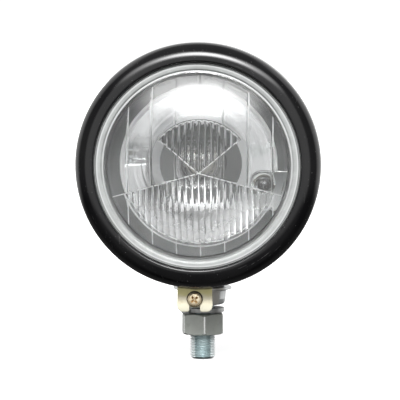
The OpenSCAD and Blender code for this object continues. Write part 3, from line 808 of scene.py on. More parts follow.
def lens_mesh():
    verts, faces, fm = [], [], []
    n = 288

    def ring(r, u):
        k = len(verts)
        verts.extend(lamp(r, TAU * i / n, u) for i in range(n))
        return list(range(k, k + n))

    def band(p, q, m):
        for i in range(n):
            j = (i + 1) % n
            faces.append((p[i], p[j], q[j], q[i]))
            fm.append(m)

    # front: pole, dome, border with a knurled step, edge, back of the border
    pole = len(verts)
    verts.append(lamp(0, 0, front_u(0)))
    rings = [ring(DOME_R * k / 40, front_u(DOME_R * k / 40)) for k in range(1, 40)]
    for i in range(n):
        faces.append((pole, rings[0][i], rings[0][(i + 1) % n]))
        fm.append(0)
    for p, q in zip(rings, rings[1:]):
        band(p, q, 0)
    prev = rings[-1]
    border = [(43.65, front_u(43.65), 0), (43.9, front_u(43.9) + 0.12, 1), (44.2, front_u(44.2) + 0.2, 1), (44.5, 43.62, 1), (44.72, 43.82, 1), (44.92, 44.10, 1), (45.25, 44.30, 1), (45.7, 44.34, 1), (46.6, 44.35, 1), (47.18, 44.33, 1), (47.3, 44.12, 1), (47.48, 44.12, 1), (47.6, 44.28, 1), (47.85, 44.22, 1), (48.02, 43.95, 1), (48.12, 43.6, 1), (48.3, 43.3, 1), (50.4, 43.3, 1), (50.8, 42.9, 1), (50.8, 40.8, 1), (50.5, 40.45, 1), (44.0, 40.45, 1), (41.9, 40.45, 3)]
    for r, u, m in border:
        cur = ring(r, u)
        band(prev, cur, m)
        prev = cur
    # inner face: columns along the flutes, clipped to a circle of radius FLUTED_R
    sub = 10
    dx = PITCH / 4 / sub
    count = int(FLUTED_R / dx)
    xs = [MID_X + i * dx for i in range(-count - 6, count + 7)]
    xs = [x for x in xs if abs(x) < FLUTED_R - 0.02]
    cols = []
    left = len(verts)
    verts.append(lampxy(-FLUTED_R, 0, back_u(FLUTED_R)))
    cols.append([left])
    step = 1.0
    for x in xs:
        lim = math.sqrt(FLUTED_R ** 2 - x * x)
        ys = set()
        m = int(lim / step)
        for k in range(-m, m + 1):
            ys.add(round(k * step, 4))
        for base in (STAR[1] - math.tan(LOWER) * abs(x - STAR[0]), STAR[1] + math.tan(UPPER) * abs(x - STAR[0])):
            for d in (-0.75, -0.5, -0.27, 0, 0.27, 0.5, 0.75):
                ys.add(base + d)
        if abs(x - STAR[0]) < ARC_R:
            top = STAR[1] + math.sqrt(ARC_R ** 2 - (x - STAR[0]) ** 2)
            for d in (-0.75, -0.5, -0.25, 0, 0.25, 0.5, 0.75):
                ys.add(top + d)
        if abs(x - MID_X) < FIELD_R:
            low = -math.sqrt(FIELD_R ** 2 - (x - MID_X) ** 2)
            for d in (-0.6, -0.32, 0, 0.32, 0.6):
                ys.add(low + d)
        if abs(x - MID_X) < FIELD_R - 1.55:
            low = -math.sqrt((FIELD_R - 1.55) ** 2 - (x - MID_X) ** 2)
            for d in (-0.4, -0.2, 0, 0.2, 0.4):
                ys.add(low + d)
        ys = sorted(y for y in ys if abs(y) < lim - 0.12)
        keep = []
        for y in ys:
            if not keep or y - keep[-1] > 0.10:
                keep.append(y)
        col = []
        for y in [-lim] + keep + [lim]:
            r = min(math.hypot(x, y), FLUTED_R)
            col.append(len(verts))
            verts.append(lampxy(x, y, back_u(r) - lens_relief(x, y)))
        cols.append(col)
    right = len(verts)
    verts.append(lampxy(FLUTED_R, 0, back_u(FLUTED_R)))
    cols.append([right])

    def yof(i):
        return verts[i][2]

    for a, b in zip(cols, cols[1:]):
        i = j = 0
        while i < len(a) - 1 or j < len(b) - 1:
            if j >= len(b) - 1 or (i < len(a) - 1 and yof(a[i + 1]) <= yof(b[j + 1])):
                faces.append((a[i], b[j], a[i + 1]))
                i += 1
            else:
                faces.append((a[i], b[j], b[j + 1]))
                j += 1
            mx = sum(verts[k][0] for k in faces[-1]) / 3
            my = sum(verts[k][2] for k in faces[-1]) / 3 - LZ
            fm.append(2 if lens_line(mx, my) else 4 if lens_lower_flutes(mx, my) else 0)
    # the loop round the inner face, joined to the last ring of the border
    loop = [c[0] for c in cols] + [c[-1] for c in reversed(cols[1:-1])]
    ang = [math.atan2(verts[i][2] - LZ, verts[i][0]) for i in loop]
    loop = [i for _, i in sorted(zip(ang, loop))]
    outer = sorted(prev, key=lambda i: math.atan2(verts[i][2] - LZ, verts[i][0]))

    def th(i):
        return math.atan2(verts[i][2] - LZ, verts[i][0])

    i = j = 0
    nl, no = len(loop), len(outer)
    while i < nl or j < no:
        ti = th(loop[i + 1]) if i + 1 < nl else (th(loop[0]) + TAU if i + 1 == nl else 1e9)
        tj = th(outer[j + 1]) if j + 1 < no else (th(outer[0]) + TAU if j + 1 == no else 1e9)
        if ti <= tj:
            faces.append((loop[i % nl], outer[j % no], loop[(i + 1) % nl]))
            i += 1
        else:
            faces.append((loop[i % nl], outer[j % no], outer[(j + 1) % no]))
            j += 1
        fm.append(3)
    return verts, faces, fm


lv, lf, lm = lens_mesh()
lens = make("fluted_lens", lv, lf, None, "front", "lens", sharp=28, materials=[M["lens_glass"], M["glass_frosted"], M["glass_line"], M["glass_flange"], M["glass_lower_painted_light"]], face_material=lm)

# ------------------------------------------------------------------ reflector

FOCAL, MOUTH_R, MOUTH_U, NECK_R = 14.0, 35.6, 31.0857, 12.5
VERTEX = MOUTH_U - MOUTH_R ** 2 / (4 * FOCAL)
FOCUS = VERTEX + FOCAL


def para(r, t=0.0):
    k = r / (2 * FOCAL)
    s = math.sqrt(1 + k * k)
    return (r + t * k / s, VERTEX + r * r / (4 * FOCAL) - t / s)


inner = [para(NECK_R + (MOUTH_R - NECK_R) * i / 48) for i in range(48, -1, -1)]
outer_line = [para(NECK_R + (MOUTH_R - NECK_R) * i / 32, 0.75) for i in range(32)]
ledge = fillet([(51.2, 39.3), (47.0, 39.3), (46.6, 34.4), (36.78, 31.36)], [0.05, 0.5, 0.8, 0], 6, closed=False)
bead = [(36.15 + 0.6 * math.cos(math.radians(w)), 31.3 + 0.6 * math.sin(math.radians(w))) for w in range(15, 180, 15)]
back = fillet([(36.3, 30.55), (47.3, 33.65), (47.75, 38.55), (51.2, 38.55)], [0, 1.0, 0.5, 0.05], 6, closed=False)
rprof = ledge + bead + inner + outer_line + back
rv, rf = revolve_data(rprof, lamp, 256)
reflector = make("reflector_bowl", rv, rf, None, "front", "reflector", sharp=32, materials=[M["reflector_silver"], M["reflector_ledge"], M["reflector_base"], M["reflector_lip"]],
                 face_material=[1 if k // 256 < len(ledge) - 1 else 3 if k // 256 < len(ledge + bead) + 2 else (2 if len(ledge + bead) + 34 <= k // 256 < len(ledge + bead) + 48 else 0) for k in range(len(rf))])
pa = math.radians(-17)
pc = (31.5 * math.cos(pa), 31.5 * math.sin(pa))
POCKET_X, POCKET_Y, POCKET_U = pc[0] - 5.8, pc[1], 18.5


def pocket_outline(g):
    """The pilot pocket's outline, grown by g, anticlockwise from its lower outer corner."""
    x0, hi, lo, R = POCKET_X + 5, POCKET_Y + 5.8 + g, POCKET_Y - 10.7 - g, 46.2 + g
    a0, a1 = math.asin(lo / R), math.asin(hi / R)
    pts = [(R * math.cos(a0 + (a1 - a0) * k / 16), R * math.sin(a0 + (a1 - a0) * k / 16)) for k in range(17)]
    pts += [(pts[16][0] + (x0 - pts[16][0]) * k / 16, hi) for k in range(1, 16)]
    pts += [(x0 + (5 + g) * math.cos(math.radians(w)), POCKET_Y + 0.8 + (5 + g) * math.sin(math.radians(w))) for w in range(90, 181, 10)]
    pts += [(POCKET_X - g, POCKET_Y + 0.8 - 6.5 * k / 7) for k in range(1, 7)]
    pts += [(x0 + (5 + g) * math.cos(math.radians(w)), POCKET_Y - 5.7 + (5 + g) * math.sin(math.radians(w))) for w in range(180, 271, 10)]
    pts += [(x0 + (pts[0][0] - x0) * k / 16, lo) for k in range(1, 16)]
    return pts


def face_u(x, y):
    r = math.hypot(x, y)
    return para(r)[1] if r < 35.9 else 31.4 + (r - 36.75) * 0.303


def pocket_mesh():
    """The pocket's floor and walls, with a rounded edge that stands a little proud of the bowl."""
    levels = [(-0.5, None, 18.5), (-0.12, None, 18.62), (0.0, None, 19.0), (0.0, -0.25, 0), (0.10, 0.12, 0), (0.32, 0.27, 0), (0.58, 0.22, 0), (0.80, -0.05, 0), (0.75, None, 17.9), (0.6, None, 17.75)]
    verts, rings = [], []
    for g, over, u in levels:
        pts = pocket_outline(g)
        rings.append(list(range(len(verts), len(verts) + len(pts))))
        verts += [lampxy(x, y, max(face_u(x, y) + over, 19.05) if over is not None else u) for x, y in pts]
    n = len(rings[0])
    faces, fm = [tuple(rings[0])], [1]
    for k, (p, q) in enumerate(zip(rings, rings[1:])):
        for i in range(n):
            j = (i + 1) % n
            faces.append((p[i], p[j], q[j], q[i]))
            far = math.hypot(verts[p[i]][0], verts[p[i]][2] - LZ) > 36.4
            fm.append(0 if 3 <= k <= 6 and not far else 1)
    faces.append(tuple(reversed(rings[-1])))
    fm.append(1)
    return verts, faces, fm


kv, kf, km = pocket_mesh()
pocket = make("pilot_pocket", kv, kf, None, "front", sharp=40, materials=[M["reflector_silver"], M["reflector_pocket"]], face_material=km)
prism = pocket_outline(0.35)
pn = len(prism)
cut(reflector, [scratch("t0", [lampxy(x, y, 14) for x, y in prism] + [lampxy(x, y, 38) for x, y in prism],
                        [tuple(range(pn)), tuple(range(2 * pn - 1, pn - 1, -1))] + [(k, (k + 1) % pn, pn + (k + 1) % pn, pn + k) for k in range(pn)])])
for shell in (reflector, pocket):
    cut(shell, [rod_tool("t1", lampxy(pc[0], pc[1], 4), lampxy(pc[0], pc[1], 37), 5.5, 64)])

# ------------------------------------------------------------------ stud

PITCH_T = 1.25


def thread(z, a, crest, depth, pitch, phase=0.0):
    t = z / pitch - a / TAU + phase
    t -= math.floor(t)
    d = abs(t - 0.5) * 2          # 0 in the root, 1 at the crest
    d = (d - 0.15) / (0.80 - 0.15)
    return crest - depth * (1 - smooth01(max(0, min(1, d)) ** 0.9))


def stud_mesh():
    n, place = 112, upright
    zs = [-26.2, -26.15, -26.0]
    z = -25.875
    while z < 1.0:
        zs.append(z)
        z += PITCH_T / 11
    verts, faces = [place(0, 0, -26.2)], []
    rings = []
    for z in zs:
        k = len(verts)
        for i in range(n):
            a = TAU * i / n
            top = 4.75 + (z + 26.2) * 1.2
            r = min(thread(z, a, 5.99, 0.68, PITCH_T), top, 5.98)
            if z > -0.4:
                w = smooth01((z + 0.4) / 1.2)
                r = r * (1 - w) + 5.5 * w
            verts.append(place(r, a, z))
        rings.append(list(range(k, k + n)))
    for r, z in [(5.5, 1.0), (5.5, 1.6), (4.5, 1.9), (4.5, 11.0), (8.0, 11.0), (8.2, 11.2), (8.2, 12.0)] + [(12.96 * math.cos(math.radians(w)), 2 + 12.96 * math.sin(math.radians(w))) for w in (54, 60, 66, 72, 78, 84, 88)]:
        k = len(verts)
        verts += [place(r, TAU * i / n, z) for i in range(n)]
        rings.append(list(range(k, k + n)))
    top = len(verts)
    verts.append(place(0, 0, 14.96))
    for i in range(n):
        j = (i + 1) % n
        faces.append((0, rings[0][j], rings[0][i]))
        faces.append((top, rings[-1][i], rings[-1][j]))
        for p, q in zip(rings, rings[1:]):
            faces.append((p[i], p[j], q[j], q[i]))
    return verts, faces


sv, sf = stud_mesh()
stud = make("threaded_stud", sv, sf, M["zinc_stud"], "mount", "stud", sharp=48)

# ------------------------------------------------------------------ saddle cup

cup = fillet([(6.05, 0), (10.45, 0), (11.1, 2.9), (11.4, 7.25), (14.0, 7.4), (14.0, 8.6), (10.4, 8.6), (9.9, 7.9), (9.7, 3.0), (8.2, 1.5), (6.05, 1.5)],
             [0.15, 1.75, 0.8, 0.7, 0.35, 0.35, 0.3, 0.3, 1.2, 0.9, 0.15], 6)
saddle = revolve("saddle", cup, upright, M["zinc_satin"], "mount", "saddle_cup", n=192, sharp=40)

# ------------------------------------------------------------------ spring washer

def washer_mesh():
    a0, span = math.radians(236 + 3.2), math.radians(360 - 6.4)
    sec = fillet([(6.25, -1.22), (10.4, -1.22), (10.4, 1.05), (6.25, 1.05)], 0.28, 4)
    m, steps = len(sec), 150
    verts, faces = [], []
    for i in range(steps + 1):
        t = i / steps
        a = a0 + span * t
        lean = 0.0
        if i == 0:
            lean = -1
        if i == steps:
            lean = 1
        zc = -2.37 - 0.75 * t ** 1.2
        for r, z in sec:
            verts.append(upright(r, a - 0.035 * z / 1.05, zc + z))
    for i in range(steps):
        for k in range(m):
            j = (k + 1) % m
            faces.append((i * m + k, i * m + j, (i + 1) * m + j, (i + 1) * m + k))
    faces.append(tuple(range(m)))
    faces.append(tuple(range(steps * m + m - 1, steps * m - 1, -1)))
    return verts, faces


wv, wf = washer_mesh()
washer = make("split_washer", wv, wf, M["spring_steel"], "lock", "spring_washer", sharp=40)
washer.data.materials.append(M["spring_steel_painted_shade"])
# painted shade: the washer's upward faces get a darker steel, for the shadow under the saddle cup
for p_ in washer.data.polygons:
    if p_.normal.z > 0.75:
        p_.material_index = 1

# ------------------------------------------------------------------ nut



def nut_mesh():
    """A hexagon with its six corners worn to narrow flats on a circle."""
    flat, worn, turn = 9.5, 10.78, math.radians(-81.8)
    d = math.radians(30) - math.acos(flat / worn)
    o = []
    for k in range(6):
        a = turn + k * math.radians(60)
        o += [(worn * math.cos(a + d * t), worn * math.sin(a + d * t)) for t in (-1, -0.5, 0, 0.5, 1)]
    n = len(o)
    v = [(x, y, -14.4) for x, y in o] + [(x, y, -4.4) for x, y in o]
    f = [tuple(range(n - 1, -1, -1)), tuple(range(n, 2 * n))] + [(k, (k + 1) % n, n + (k + 1) % n, n + k) for k in range(n)]
    return v, f


nv, nf = nut_mesh()
nut = make("hex_nut", nv, nf, M["zinc_dull"], "nut", "mounting_nut")
cone = scratch("nut_cone", *revolve_data([(0, -14.4), (9.2, -14.4), (11.2, -13.25), (11.2, -5.55), (9.2, -4.4), (0, -4.4)], upright, 192, closed=False))
cut(nut, [cone], "INTERSECT")
bore = scratch("nut_bore", *revolve_data([(0, -14.9), (7.2, -14.9), (7.2, -14.7), (6.05, -13.55), (6.05, -5.25), (7.2, -4.1), (7.2, -3.9), (0, -3.9)], upright, 128, closed=False))
cut(nut, [bore])
finish_mesh(nut, 20)
nut.data.materials.append(M["zinc_worn"])
for p_ in nut.data.polygons:
    if abs(p_.normal.z) < 0.02:
        w_ = (math.degrees(math.atan2(p_.normal.y, p_.normal.x)) + 81.8 + 30) % 60 - 30
        if abs(w_) < 4 and math.hypot(p_.center.x, p_.center.y) > 9 * MM:
            p_.material_index = 1

# ------------------------------------------------------------------ rim clip

CX, SZ = -1.8, 5.4


def clip_mesh():
    """A forked tab: columns of points from its lower outline to its root on the rim, bent and then thickened."""
    half, slot, root = 8.2, 2.45, 12.0
    xs = []

    def spread(a, b, n):
        return [a + (b - a) * i / n for i in range(n + 1)]

    left = spread(-half, -slot, 16)
    mid = spread(-slot, slot, 12)
    cols = left + mid[1:-1] + spread(slot, half, 16)

    def low_leg(x):
        d = half - abs(x)
        r = 2.9
        if d < r:
            return -0.6 + r - math.sqrt(max(0.0, r * r - (r - d) ** 2))
        d2 = abs(x) - slot
        r2 = 0.9
        if d2 < r2:
            return -0.6 + r2 - math.sqrt(max(0.0, r2 * r2 - (r2 - d2) ** 2))
        return -0.6

    def widen(x, z):
        return x * (1 + 0.035 * smooth01((9 - z) / 10))

    def bend(z):
        # stands under the rim, leans back at its top, curls forward below
        return -0.9 * smooth01((7.2 - z) / 8.0) + 0.35 * smooth01((z - 6.0) / 4.0)

    verts, faces = [], []
    up, lo = {}, {}
    nu, nl = 12, 12

    def root_z(x):
        return LZ - math.sqrt(57.52 ** 2 - (x + CX) ** 2) - 0.02

    for c, x in enumerate(cols):
        start = SZ if abs(x) >= slot - 1e-9 else SZ + math.sqrt(max(0, slot ** 2 - x * x))
        for k in range(nu + 1):
            z = start + (root_z(x) - start) * k / nu
            up[c, k] = len(verts)
            verts.append((CX + widen(x, z), -31.4 + bend(z), z))
        if abs(x) >= slot - 1e-9:
            zl = low_leg(x)
            for k in range(nl + 1):
                z = zl + (SZ - zl) * k / nl
                if k == nl:
                    lo[c, k] = up[c, 0]
                else:
                    lo[c, k] = len(verts)
                    verts.append((CX + widen(x, z), -31.4 + bend(z), z))
    for c in range(len(cols) - 1):
        for k in range(nu):
            faces.append((up[c, k], up[c + 1, k], up[c + 1, k + 1], up[c, k + 1]))
        if (c, 0) in lo and (c + 1, 0) in lo and (abs(cols[c]) > slot + 1e-9 or abs(cols[c + 1]) > slot + 1e-9):
            for k in range(nl):
                faces.append((lo[c, k], lo[c + 1, k], lo[c + 1, k + 1], lo[c, k + 1]))
    return verts, faces


def thicken(obj, t, offset=0.0, bevel=0.15):
    s = obj.modifiers.new("sheet", "SOLIDIFY")
    s.thickness = t * MM
    s.offset = offset
    s.use_even_offset = True
    s.material_offset_rim = 1
    if bevel:
        b = obj.modifiers.new("edge", "BEVEL")
        b.width = bevel * MM
        b.segments = 2
        b.limit_method = "ANGLE"
        b.angle_limit = math.radians(50)
    apply_modifiers(obj)
    for p in obj.data.polygons:
        p.use_smooth = True
    obj.data.set_sharp_from_angle(angle=math.radians(40))


cv, cf = clip_mesh()
clip = make("forked_clip", cv, cf, M["zinc_yellow"], "front", "rim_clip", recalc=False)
clip.data.materials.append(M["zinc_yellow_edge"])
thicken(clip, 1.15, 0.0, 0.16)

# ------------------------------------------------------------------ rim screw


def screw_place(r, a, u):
    return (CX + r * math.cos(a), -u, SZ + r * math.sin(a))


head = [(0, 35.15), (1.3, 35.13), (2.0, 35.07), (2.5, 34.92), (2.9, 34.66), (3.15, 34.3), (3.28, 33.9), (3.3, 33.6), (3.3, 32.95), (3.15, 32.75), (2.2, 32.75), (1.98, 32.6)]


def screw_mesh():
    n = 64
    profile = head + [(1.98, 32.5)]
    v, f = revolve_data(profile, screw_place, n, closed=False)
    rings_from = len(v) - n
    prev = list(range(rings_from, rings_from + n))
    u = 32.4
    while u > 21.6:
        k = len(v)
        v += [screw_place(thread(u, TAU * i / n, 1.98, 0.36, 0.7), TAU * i / n, u) for i in range(n)]
        cur = list(range(k, k + n))
        for i in range(n):
            j = (i + 1) % n
            f.append((prev[i], prev[j], cur[j], cur[i]))
        prev = cur
        u -= 0.08
    for r, uu in ((1.5, 21.2), (1.2, 21.0)):
        k = len(v)
        v += [screw_place(r, TAU * i / n, uu) for i in range(n)]
        cur = list(range(k, k + n))
        for i in range(n):
            j = (i + 1) % n
            f.append((prev[i], prev[j], cur[j], cur[i]))
        prev = cur
    f.append(tuple(prev))
    return v, f


qv, qf = screw_mesh()
screw = make("cross_screw", qv, qf, M["screw_gold"], "screw", "rim_screw", sharp=35)


def wing(name, a):
    """One bar of the cross recess: wide and long at the face, pointed below."""
    ca, sa = math.cos(a), math.sin(a)
    pts = []
    for u, l, w in ((35.6, 2.35, 0.56), (33.3, 0.7, 0.36)):
        for x, y in ((-l, -w), (l, -w), (l, w), (-l, w)):
            pts.append((CX + x * ca - y * sa, -u, SZ + x * sa + y * ca))
    return scratch(name, pts, [(0, 1, 2, 3), (4, 5, 6, 7), (0, 1, 5, 4), (1, 2, 6, 5), (2, 3, 7, 6), (3, 0, 4, 7)])


cut(screw, [wing("w1", math.radians(38)), wing("w2", math.radians(128))])
finish_mesh(screw, 35)
screw.data.materials.append(M["screw_recess_painted_shade"])
# painted shade: the walls of the cross recess get the darker copy of the gold plating
for p_ in screw.data.polygons:
    c_ = p_.center / MM
    r_ = math.hypot(c_.x - CX, c_.z - SZ)
    crown = 35.15 - 0.035 * r_ ** 2 - 0.004 * r_ ** 4
    if r_ < 2.5 and -c_.y < crown - 0.12 and -c_.y > 33.0 and p_.normal.y > -0.93:
        p_.material_index = 1

# ------------------------------------------------------------------ bowl

BOWL_R, BOWL_U, BOWL_D, BALL_Z, BOSS_R = 54.4, 33.5, 72.0, 18.27, 14.0


def bowl_exit(d, inset=0.0):
    """Distance from the lamp axis point u = 0 to the bowl's skin along the direction d."""
    lo, hi = 5.0, 80.0
    R, D = BOWL_R - inset, BOWL_D - inset
    for _ in range(34):
        t = (lo + hi) / 2
        x, y, z = d[0] * t, d[1] * t, d[2] * t
        r, u = math.hypot(x, z), -y
        s = max(0.0, (BOWL_U - u) / D)
        inside = s < 1 and r < R * math.sqrt(max(0.0, 1 - s ** 3))
        if inside:
            lo = t
        else:
            hi = t
    return lo


def boss_exit(d, R):
    """The same for the ball boss, carried up as a cone so that it fades under the bowl."""
    c = Vector((0, 0, BALL_Z - LZ))
    b = c.dot(d)
    k = b * b - (c.length_squared - R * R)
    if k >= 0:
        return b + math.sqrt(k)
    near = math.sqrt(c.length_squared - b * b)
    return max(0.0, math.sqrt(c.length_squared - R * R) - (near - R) * 1.8)


def bowl_mesh():
    k_fillet = 2.2
    angs = []
    a = 0.0
    while a < 360 - 1e-6:
        angs.append(a)
        off = abs((a - 270 + 180) % 360 - 180)
        a += 0.75 if off < 21 else (1.5 if off < 40 else 3.0)
    n = len(angs)
    us = [BOWL_U]
    u = BOWL_U
    while u > 20:
        u -= 2.25
        us.append(u)
    while u > -19:
        u -= 0.75
        us.append(u)
    # the rest of the way by direction, towards the rear pole
    dirs = []
    for u in us:
        s = (BOWL_U - u) / BOWL_D
        r = BOWL_R * math.sqrt(max(0, 1 - s ** 3))
        dirs.append(math.atan2(r, -u) if u <= 0 else math.atan2(r, -u))
    last = dirs[-1]
    steps = 22
    dirs += [last * (1 - i / steps) for i in range(1, steps)]

    def shell(inset):
        rows = []
        for th in dirs:
            row = []
            for a in angs:
                w = math.radians(a)
                d = Vector((math.sin(th) * math.cos(w), math.cos(th), math.sin(th) * math.sin(w)))
                tb = bowl_exit(d, inset)
                off = abs((a - 270 + 180) % 360 - 180)
                t = tb
                if off < 40:
                    ts = boss_exit(d, BOSS_R - inset)
                    h = max(0.0, min(1.0, 0.5 + 0.5 * (ts - tb) / k_fillet))
                    t = tb * (1 - h) + ts * h + k_fillet * h * (1 - h) * 0.9
                row.append((d.x * t, d.y * t, LZ + d.z * t))
            rows.append(row)
        pole = bowl_exit(Vector((0, 1, 0)), inset)
        return rows, (0, pole, LZ)

    out_rows, out_pole = shell(0.0)
    in_rows, in_pole = shell(1.0)
    # a rolled lip at the mouth
    lip = fillet([(BOWL_R, BOWL_U - 1.6), (BOWL_R + 1.2, BOWL_U - 1.0), (BOWL_R + 1.2, BOWL_U), (BOWL_R - 1.0, BOWL_U)], [0.6, 0.4, 0.4, 0.25], 4, closed=False)
    verts, faces = [], []

    def add_row(row):
        k = len(verts)
        verts.extend(row)
        return list(range(k, k + n))

    rings = []
    for row in reversed(in_rows[1:]):
        rings.append(add_row(row))
    lip_rows = [[lamp(r, math.radians(a), u) for a in angs] for r, u in reversed(lip)]
    rings += [add_row(r) for r in lip_rows]
    for row in out_rows[1:]:
        rings.append(add_row(row))
    p0, p1 = len(verts), len(verts) + 1
    verts += [in_pole, out_pole]
    for p, q in zip(rings, rings[1:]):
        for i in range(n):
            j = (i + 1) % n
            faces.append((p[i], p[j], q[j], q[i]))
    for i in range(n):
        j = (i + 1) % n
        faces.append((p0, rings[0][j], rings[0][i]))
        faces.append((p1, rings[-1][i], rings[-1][j]))
    return verts, faces


bv, bf = bowl_mesh()
bowl = make("bowl_shell", bv, bf, M["black_enamel"], "lamp", "bowl", sharp=50)
slot_half = 5.4 + 13 * math.sin(math.radians(12))
gd = Vector((0, math.sin(math.radians(129)), math.cos(math.radians(129))))
g0 = Vector((0, 26.8, LZ - 35))
cut(bowl, [
    box_tool("b1", (-5.62, 5.62), (-slot_half, slot_half), (1.0, 12.0), 0.12),
    box_tool("b2", (-5.8, 5.8), (-29.5, -23.5), (LZ + 50, LZ + 58), 0.6),
    rod_tool("b3", g0 - gd * 8, g0 + gd * 8, 6.0),
])
finish_mesh(bowl, 40, recalc=False)

# ------------------------------------------------------------------ filaments and spring


def coil_path(c0, axis, side, turns, radius, length, per=14):
    c0, axis, side = Vector(c0), Vector(axis).normalized(), Vector(side).normalized()
    third = axis.cross(side)
    out = []
    n = int(turns * per)
    for i in range(n + 1):
        a = TAU * turns * i / n
        out.append(tuple(c0 + axis * (length * i / n) + side * (radius * math.cos(a)) + third * (radius * math.sin(a))))
    return out


f_parts = []
path = [lampxy(-3.9, 0, FOCUS - 0.3), lampxy(-3.7, 0, FOCUS)] + coil_path(lampxy(-3.3, 0, FOCUS), (1, 0, 0), (0, 0, 1), 15, 0.48, 6.6) + [lampxy(3.7, 0, FOCUS), lampxy(3.9, 0, FOCUS - 0.3)]
f_parts.append(tube_data(path, 0.14, 6))
fv, ff = merge_data(f_parts)
fil = make("filament_coil", fv, ff, M["tungsten"], "bulb", "filament", sharp=60)


def pilot_pt(x, y, u):
    ca, sa = math.cos(pa), math.sin(pa)
    return lampxy(pc[0] + x * ca - y * sa, pc[1] + x * sa + y * ca, u)


parts = []
stem = fillet([(0, 20.6), (2.6, 20.6), (2.6, 21.6), (0.9, 22.6), (0.7, 24.2), (0, 24.3)], [0, 0.3, 0.5, 0.8, 0.3, 0], 4, closed=False)
sv2, sf2 = revolve_data(stem, lambda r, a, u: pilot_pt(r * math.cos(a), r * math.sin(a), u), 32, closed=False)
parts.append((sv2, sf2))
for s in (-1, 1):
    parts.append(tube_data([pilot_pt(0, s * 0.7, 21), pilot_pt(0, s * 0.9, 24), pilot_pt(0, s * 1.6, 28.6), pilot_pt(0, s * 1.6, 29.4)], 0.22, 8))
ca, sa = math.cos(pa), math.sin(pa)
parts.append(tube_data(coil_path(pilot_pt(0, -1.6, 29.4), (-sa, 0, ca), (0, -1, 0), 10, 0.3, 3.2, 10), 0.09, 6))
pv, pf = merge_data(parts)
pfil = make("pilot_filament_coil", pv, pf, M["tungsten"], "pilot", "pilot_filament", sharp=60)

cpath = coil_path(lampxy(0, 0, -9.75), (0, -1, 0), (1, 0, 0), 4.5, 2.35, 3.3, 20)
sp_v, sp_f = tube_data(cpath, 0.24, 10)
spring = make("contact_coil", sp_v, sp_f, M["spring_steel"], "holder", "contact_spring", sharp=60)
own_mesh(spring)

# ------------------------------------------------------------------ stage and light

fm_ = Mat("floor_white")
fn = fm_.noise(3, 2, 0.5)
fm_.set(Base_Color=fm_.mix(fn, (0.90, 0.90, 0.90), (0.93, 0.93, 0.925)), Roughness=0.9, Emission_Color=(1, 1, 1), Emission_Strength=0.45)
fme = bpy.data.meshes.new("floor")
fme.from_pydata([(-8, -8, -0.0265), (8, -8, -0.0265), (8, 8, -0.0265), (-8, 8, -0.0265)], [], [(0, 1, 2, 3)])
floor = bpy.data.objects.new("floor", fme)
bpy.context.scene.collection.objects.link(floor)
fme.materials.append(fm_.m)
floor.visible_glossy = False
floor.visible_diffuse = False
floor.visible_transmission = False

KEY_AZ, KEY_EL, KEY_L, KEY_L2 = -0.5, 40.7, 18.0, 8.0
world = bpy.data.worlds.new("studio")
bpy.context.scene.world = world
world.use_nodes = True
wt = world.node_tree
wt.nodes.clear()
w_out = wt.nodes.new("ShaderNodeOutputWorld")
w_co = wt.nodes.new("ShaderNodeTexCoord")
w_sep = wt.nodes.new("ShaderNodeSeparateXYZ")
wt.links.new(w_co.outputs["Generated"], w_sep.inputs[0])


def wrange(x, a, b, c, d):
    n = wt.nodes.new("ShaderNodeMapRange")
    n.interpolation_type = "SMOOTHSTEP"
    for k, v in zip((1, 2, 3, 4), (a, b, c, d)):
        n.inputs[k].default_value = v
    wt.links.new(x, n.inputs[0])
    return n.outputs[0]


def wmath(op, a, b):
    n = wt.nodes.new("ShaderNodeMath")
    n.operation = op
    for k, v in ((0, a), (1, b)):
        if isinstance(v, (int, float)):
            n.inputs[k].default_value = v
        else:
            wt.links.new(v, n.inputs[k])
    return n.outputs[0]


X, Y, Z = w_sep.outputs
DEG = 180 / math.pi
w_el = wmath("MULTIPLY", wmath("ARCSINE", wmath("MINIMUM", Z, 1.0), 0.0), DEG)
w_az = wmath("MULTIPLY", wmath("ARCTAN2", X, wmath("MULTIPLY", Y, -1.0)), DEG)
w_off = wmath("ABSOLUTE", w_az, 0.0)


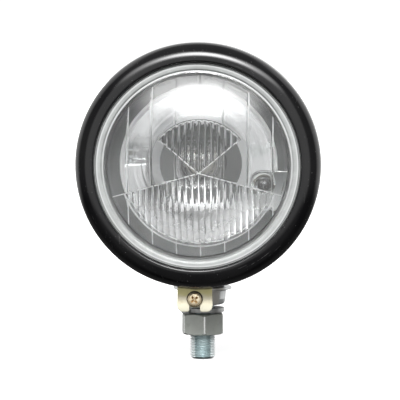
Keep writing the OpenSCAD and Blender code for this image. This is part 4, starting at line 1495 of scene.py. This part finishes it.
def lobe(az0, el0, a, b, t0, t1, level):
    """A soft-edged elliptical light, a by b degrees, centred on az0, el0."""
    u = wmath("MULTIPLY", wmath("SUBTRACT", w_az, az0), 1 / a)
    v = wmath("MULTIPLY", wmath("SUBTRACT", w_el, el0), 1 / b)
    d = wmath("SQRT", wmath("ADD", wmath("MULTIPLY", u, u), wmath("MULTIPLY", v, v)), 0.0)
    return wrange(d, t0, t1, level, 0.0)


centre = wrange(w_off, 4, 14, 0.74, 0.86)            # the room round the camera
front = wmath("MULTIPLY", wrange(w_off, 40, 52, 1.0, 0.0), centre)
rear = wrange(w_off, 92, 108, 0.0, 0.95)            # the white backdrop
level = wmath("ADD", wmath("MAXIMUM", front, rear), 0.15)
high = wrange(w_el, 46, 60, 0.0, 1.0)
level = wmath("ADD", wmath("MULTIPLY", level, wmath("SUBTRACT", 1.0, high)), wmath("MULTIPLY", high, 0.25))
level = wmath("MULTIPLY", level, wrange(w_el, -20, -7, 0.10, 1.0))
level = wmath("ADD", level, lobe(KEY_AZ, KEY_EL, 24, 11, 0.35, 1.25, KEY_L))
level = wmath("ADD", level, lobe(KEY_AZ, KEY_EL, 50, 15.5, 0.35, 1.25, KEY_L2))
w_bg = wt.nodes.new("ShaderNodeBackground")
w_bg.inputs["Color"].default_value = (1, 1, 1, 1)
wt.links.new(level, w_bg.inputs["Strength"])
w_cam = wt.nodes.new("ShaderNodeBackground")
w_cam.inputs["Color"].default_value = (1, 1, 1, 1)
w_cam.inputs["Strength"].default_value = 1.1
w_lp = wt.nodes.new("ShaderNodeLightPath")
w_mix = wt.nodes.new("ShaderNodeMixShader")
wt.links.new(w_lp.outputs["Is Camera Ray"], w_mix.inputs[0])
wt.links.new(w_bg.outputs[0], w_mix.inputs[1])
wt.links.new(w_cam.outputs[0], w_mix.inputs[2])
wt.links.new(w_mix.outputs[0], w_out.inputs[0])


# ------------------------------------------------------------------ render settings that go with the look

sc = bpy.context.scene
sc.view_settings.view_transform = "Standard"
sc.view_settings.look = "None"
sc.cycles.max_bounces = 24
sc.cycles.transmission_bounces = 20
sc.cycles.glossy_bounces = 12
sc.cycles.diffuse_bounces = 4
sc.cycles.transparent_max_bounces = 16
sc.cycles.sample_clamp_indirect = 8.0
sc.cycles.blur_glossy = 0.3
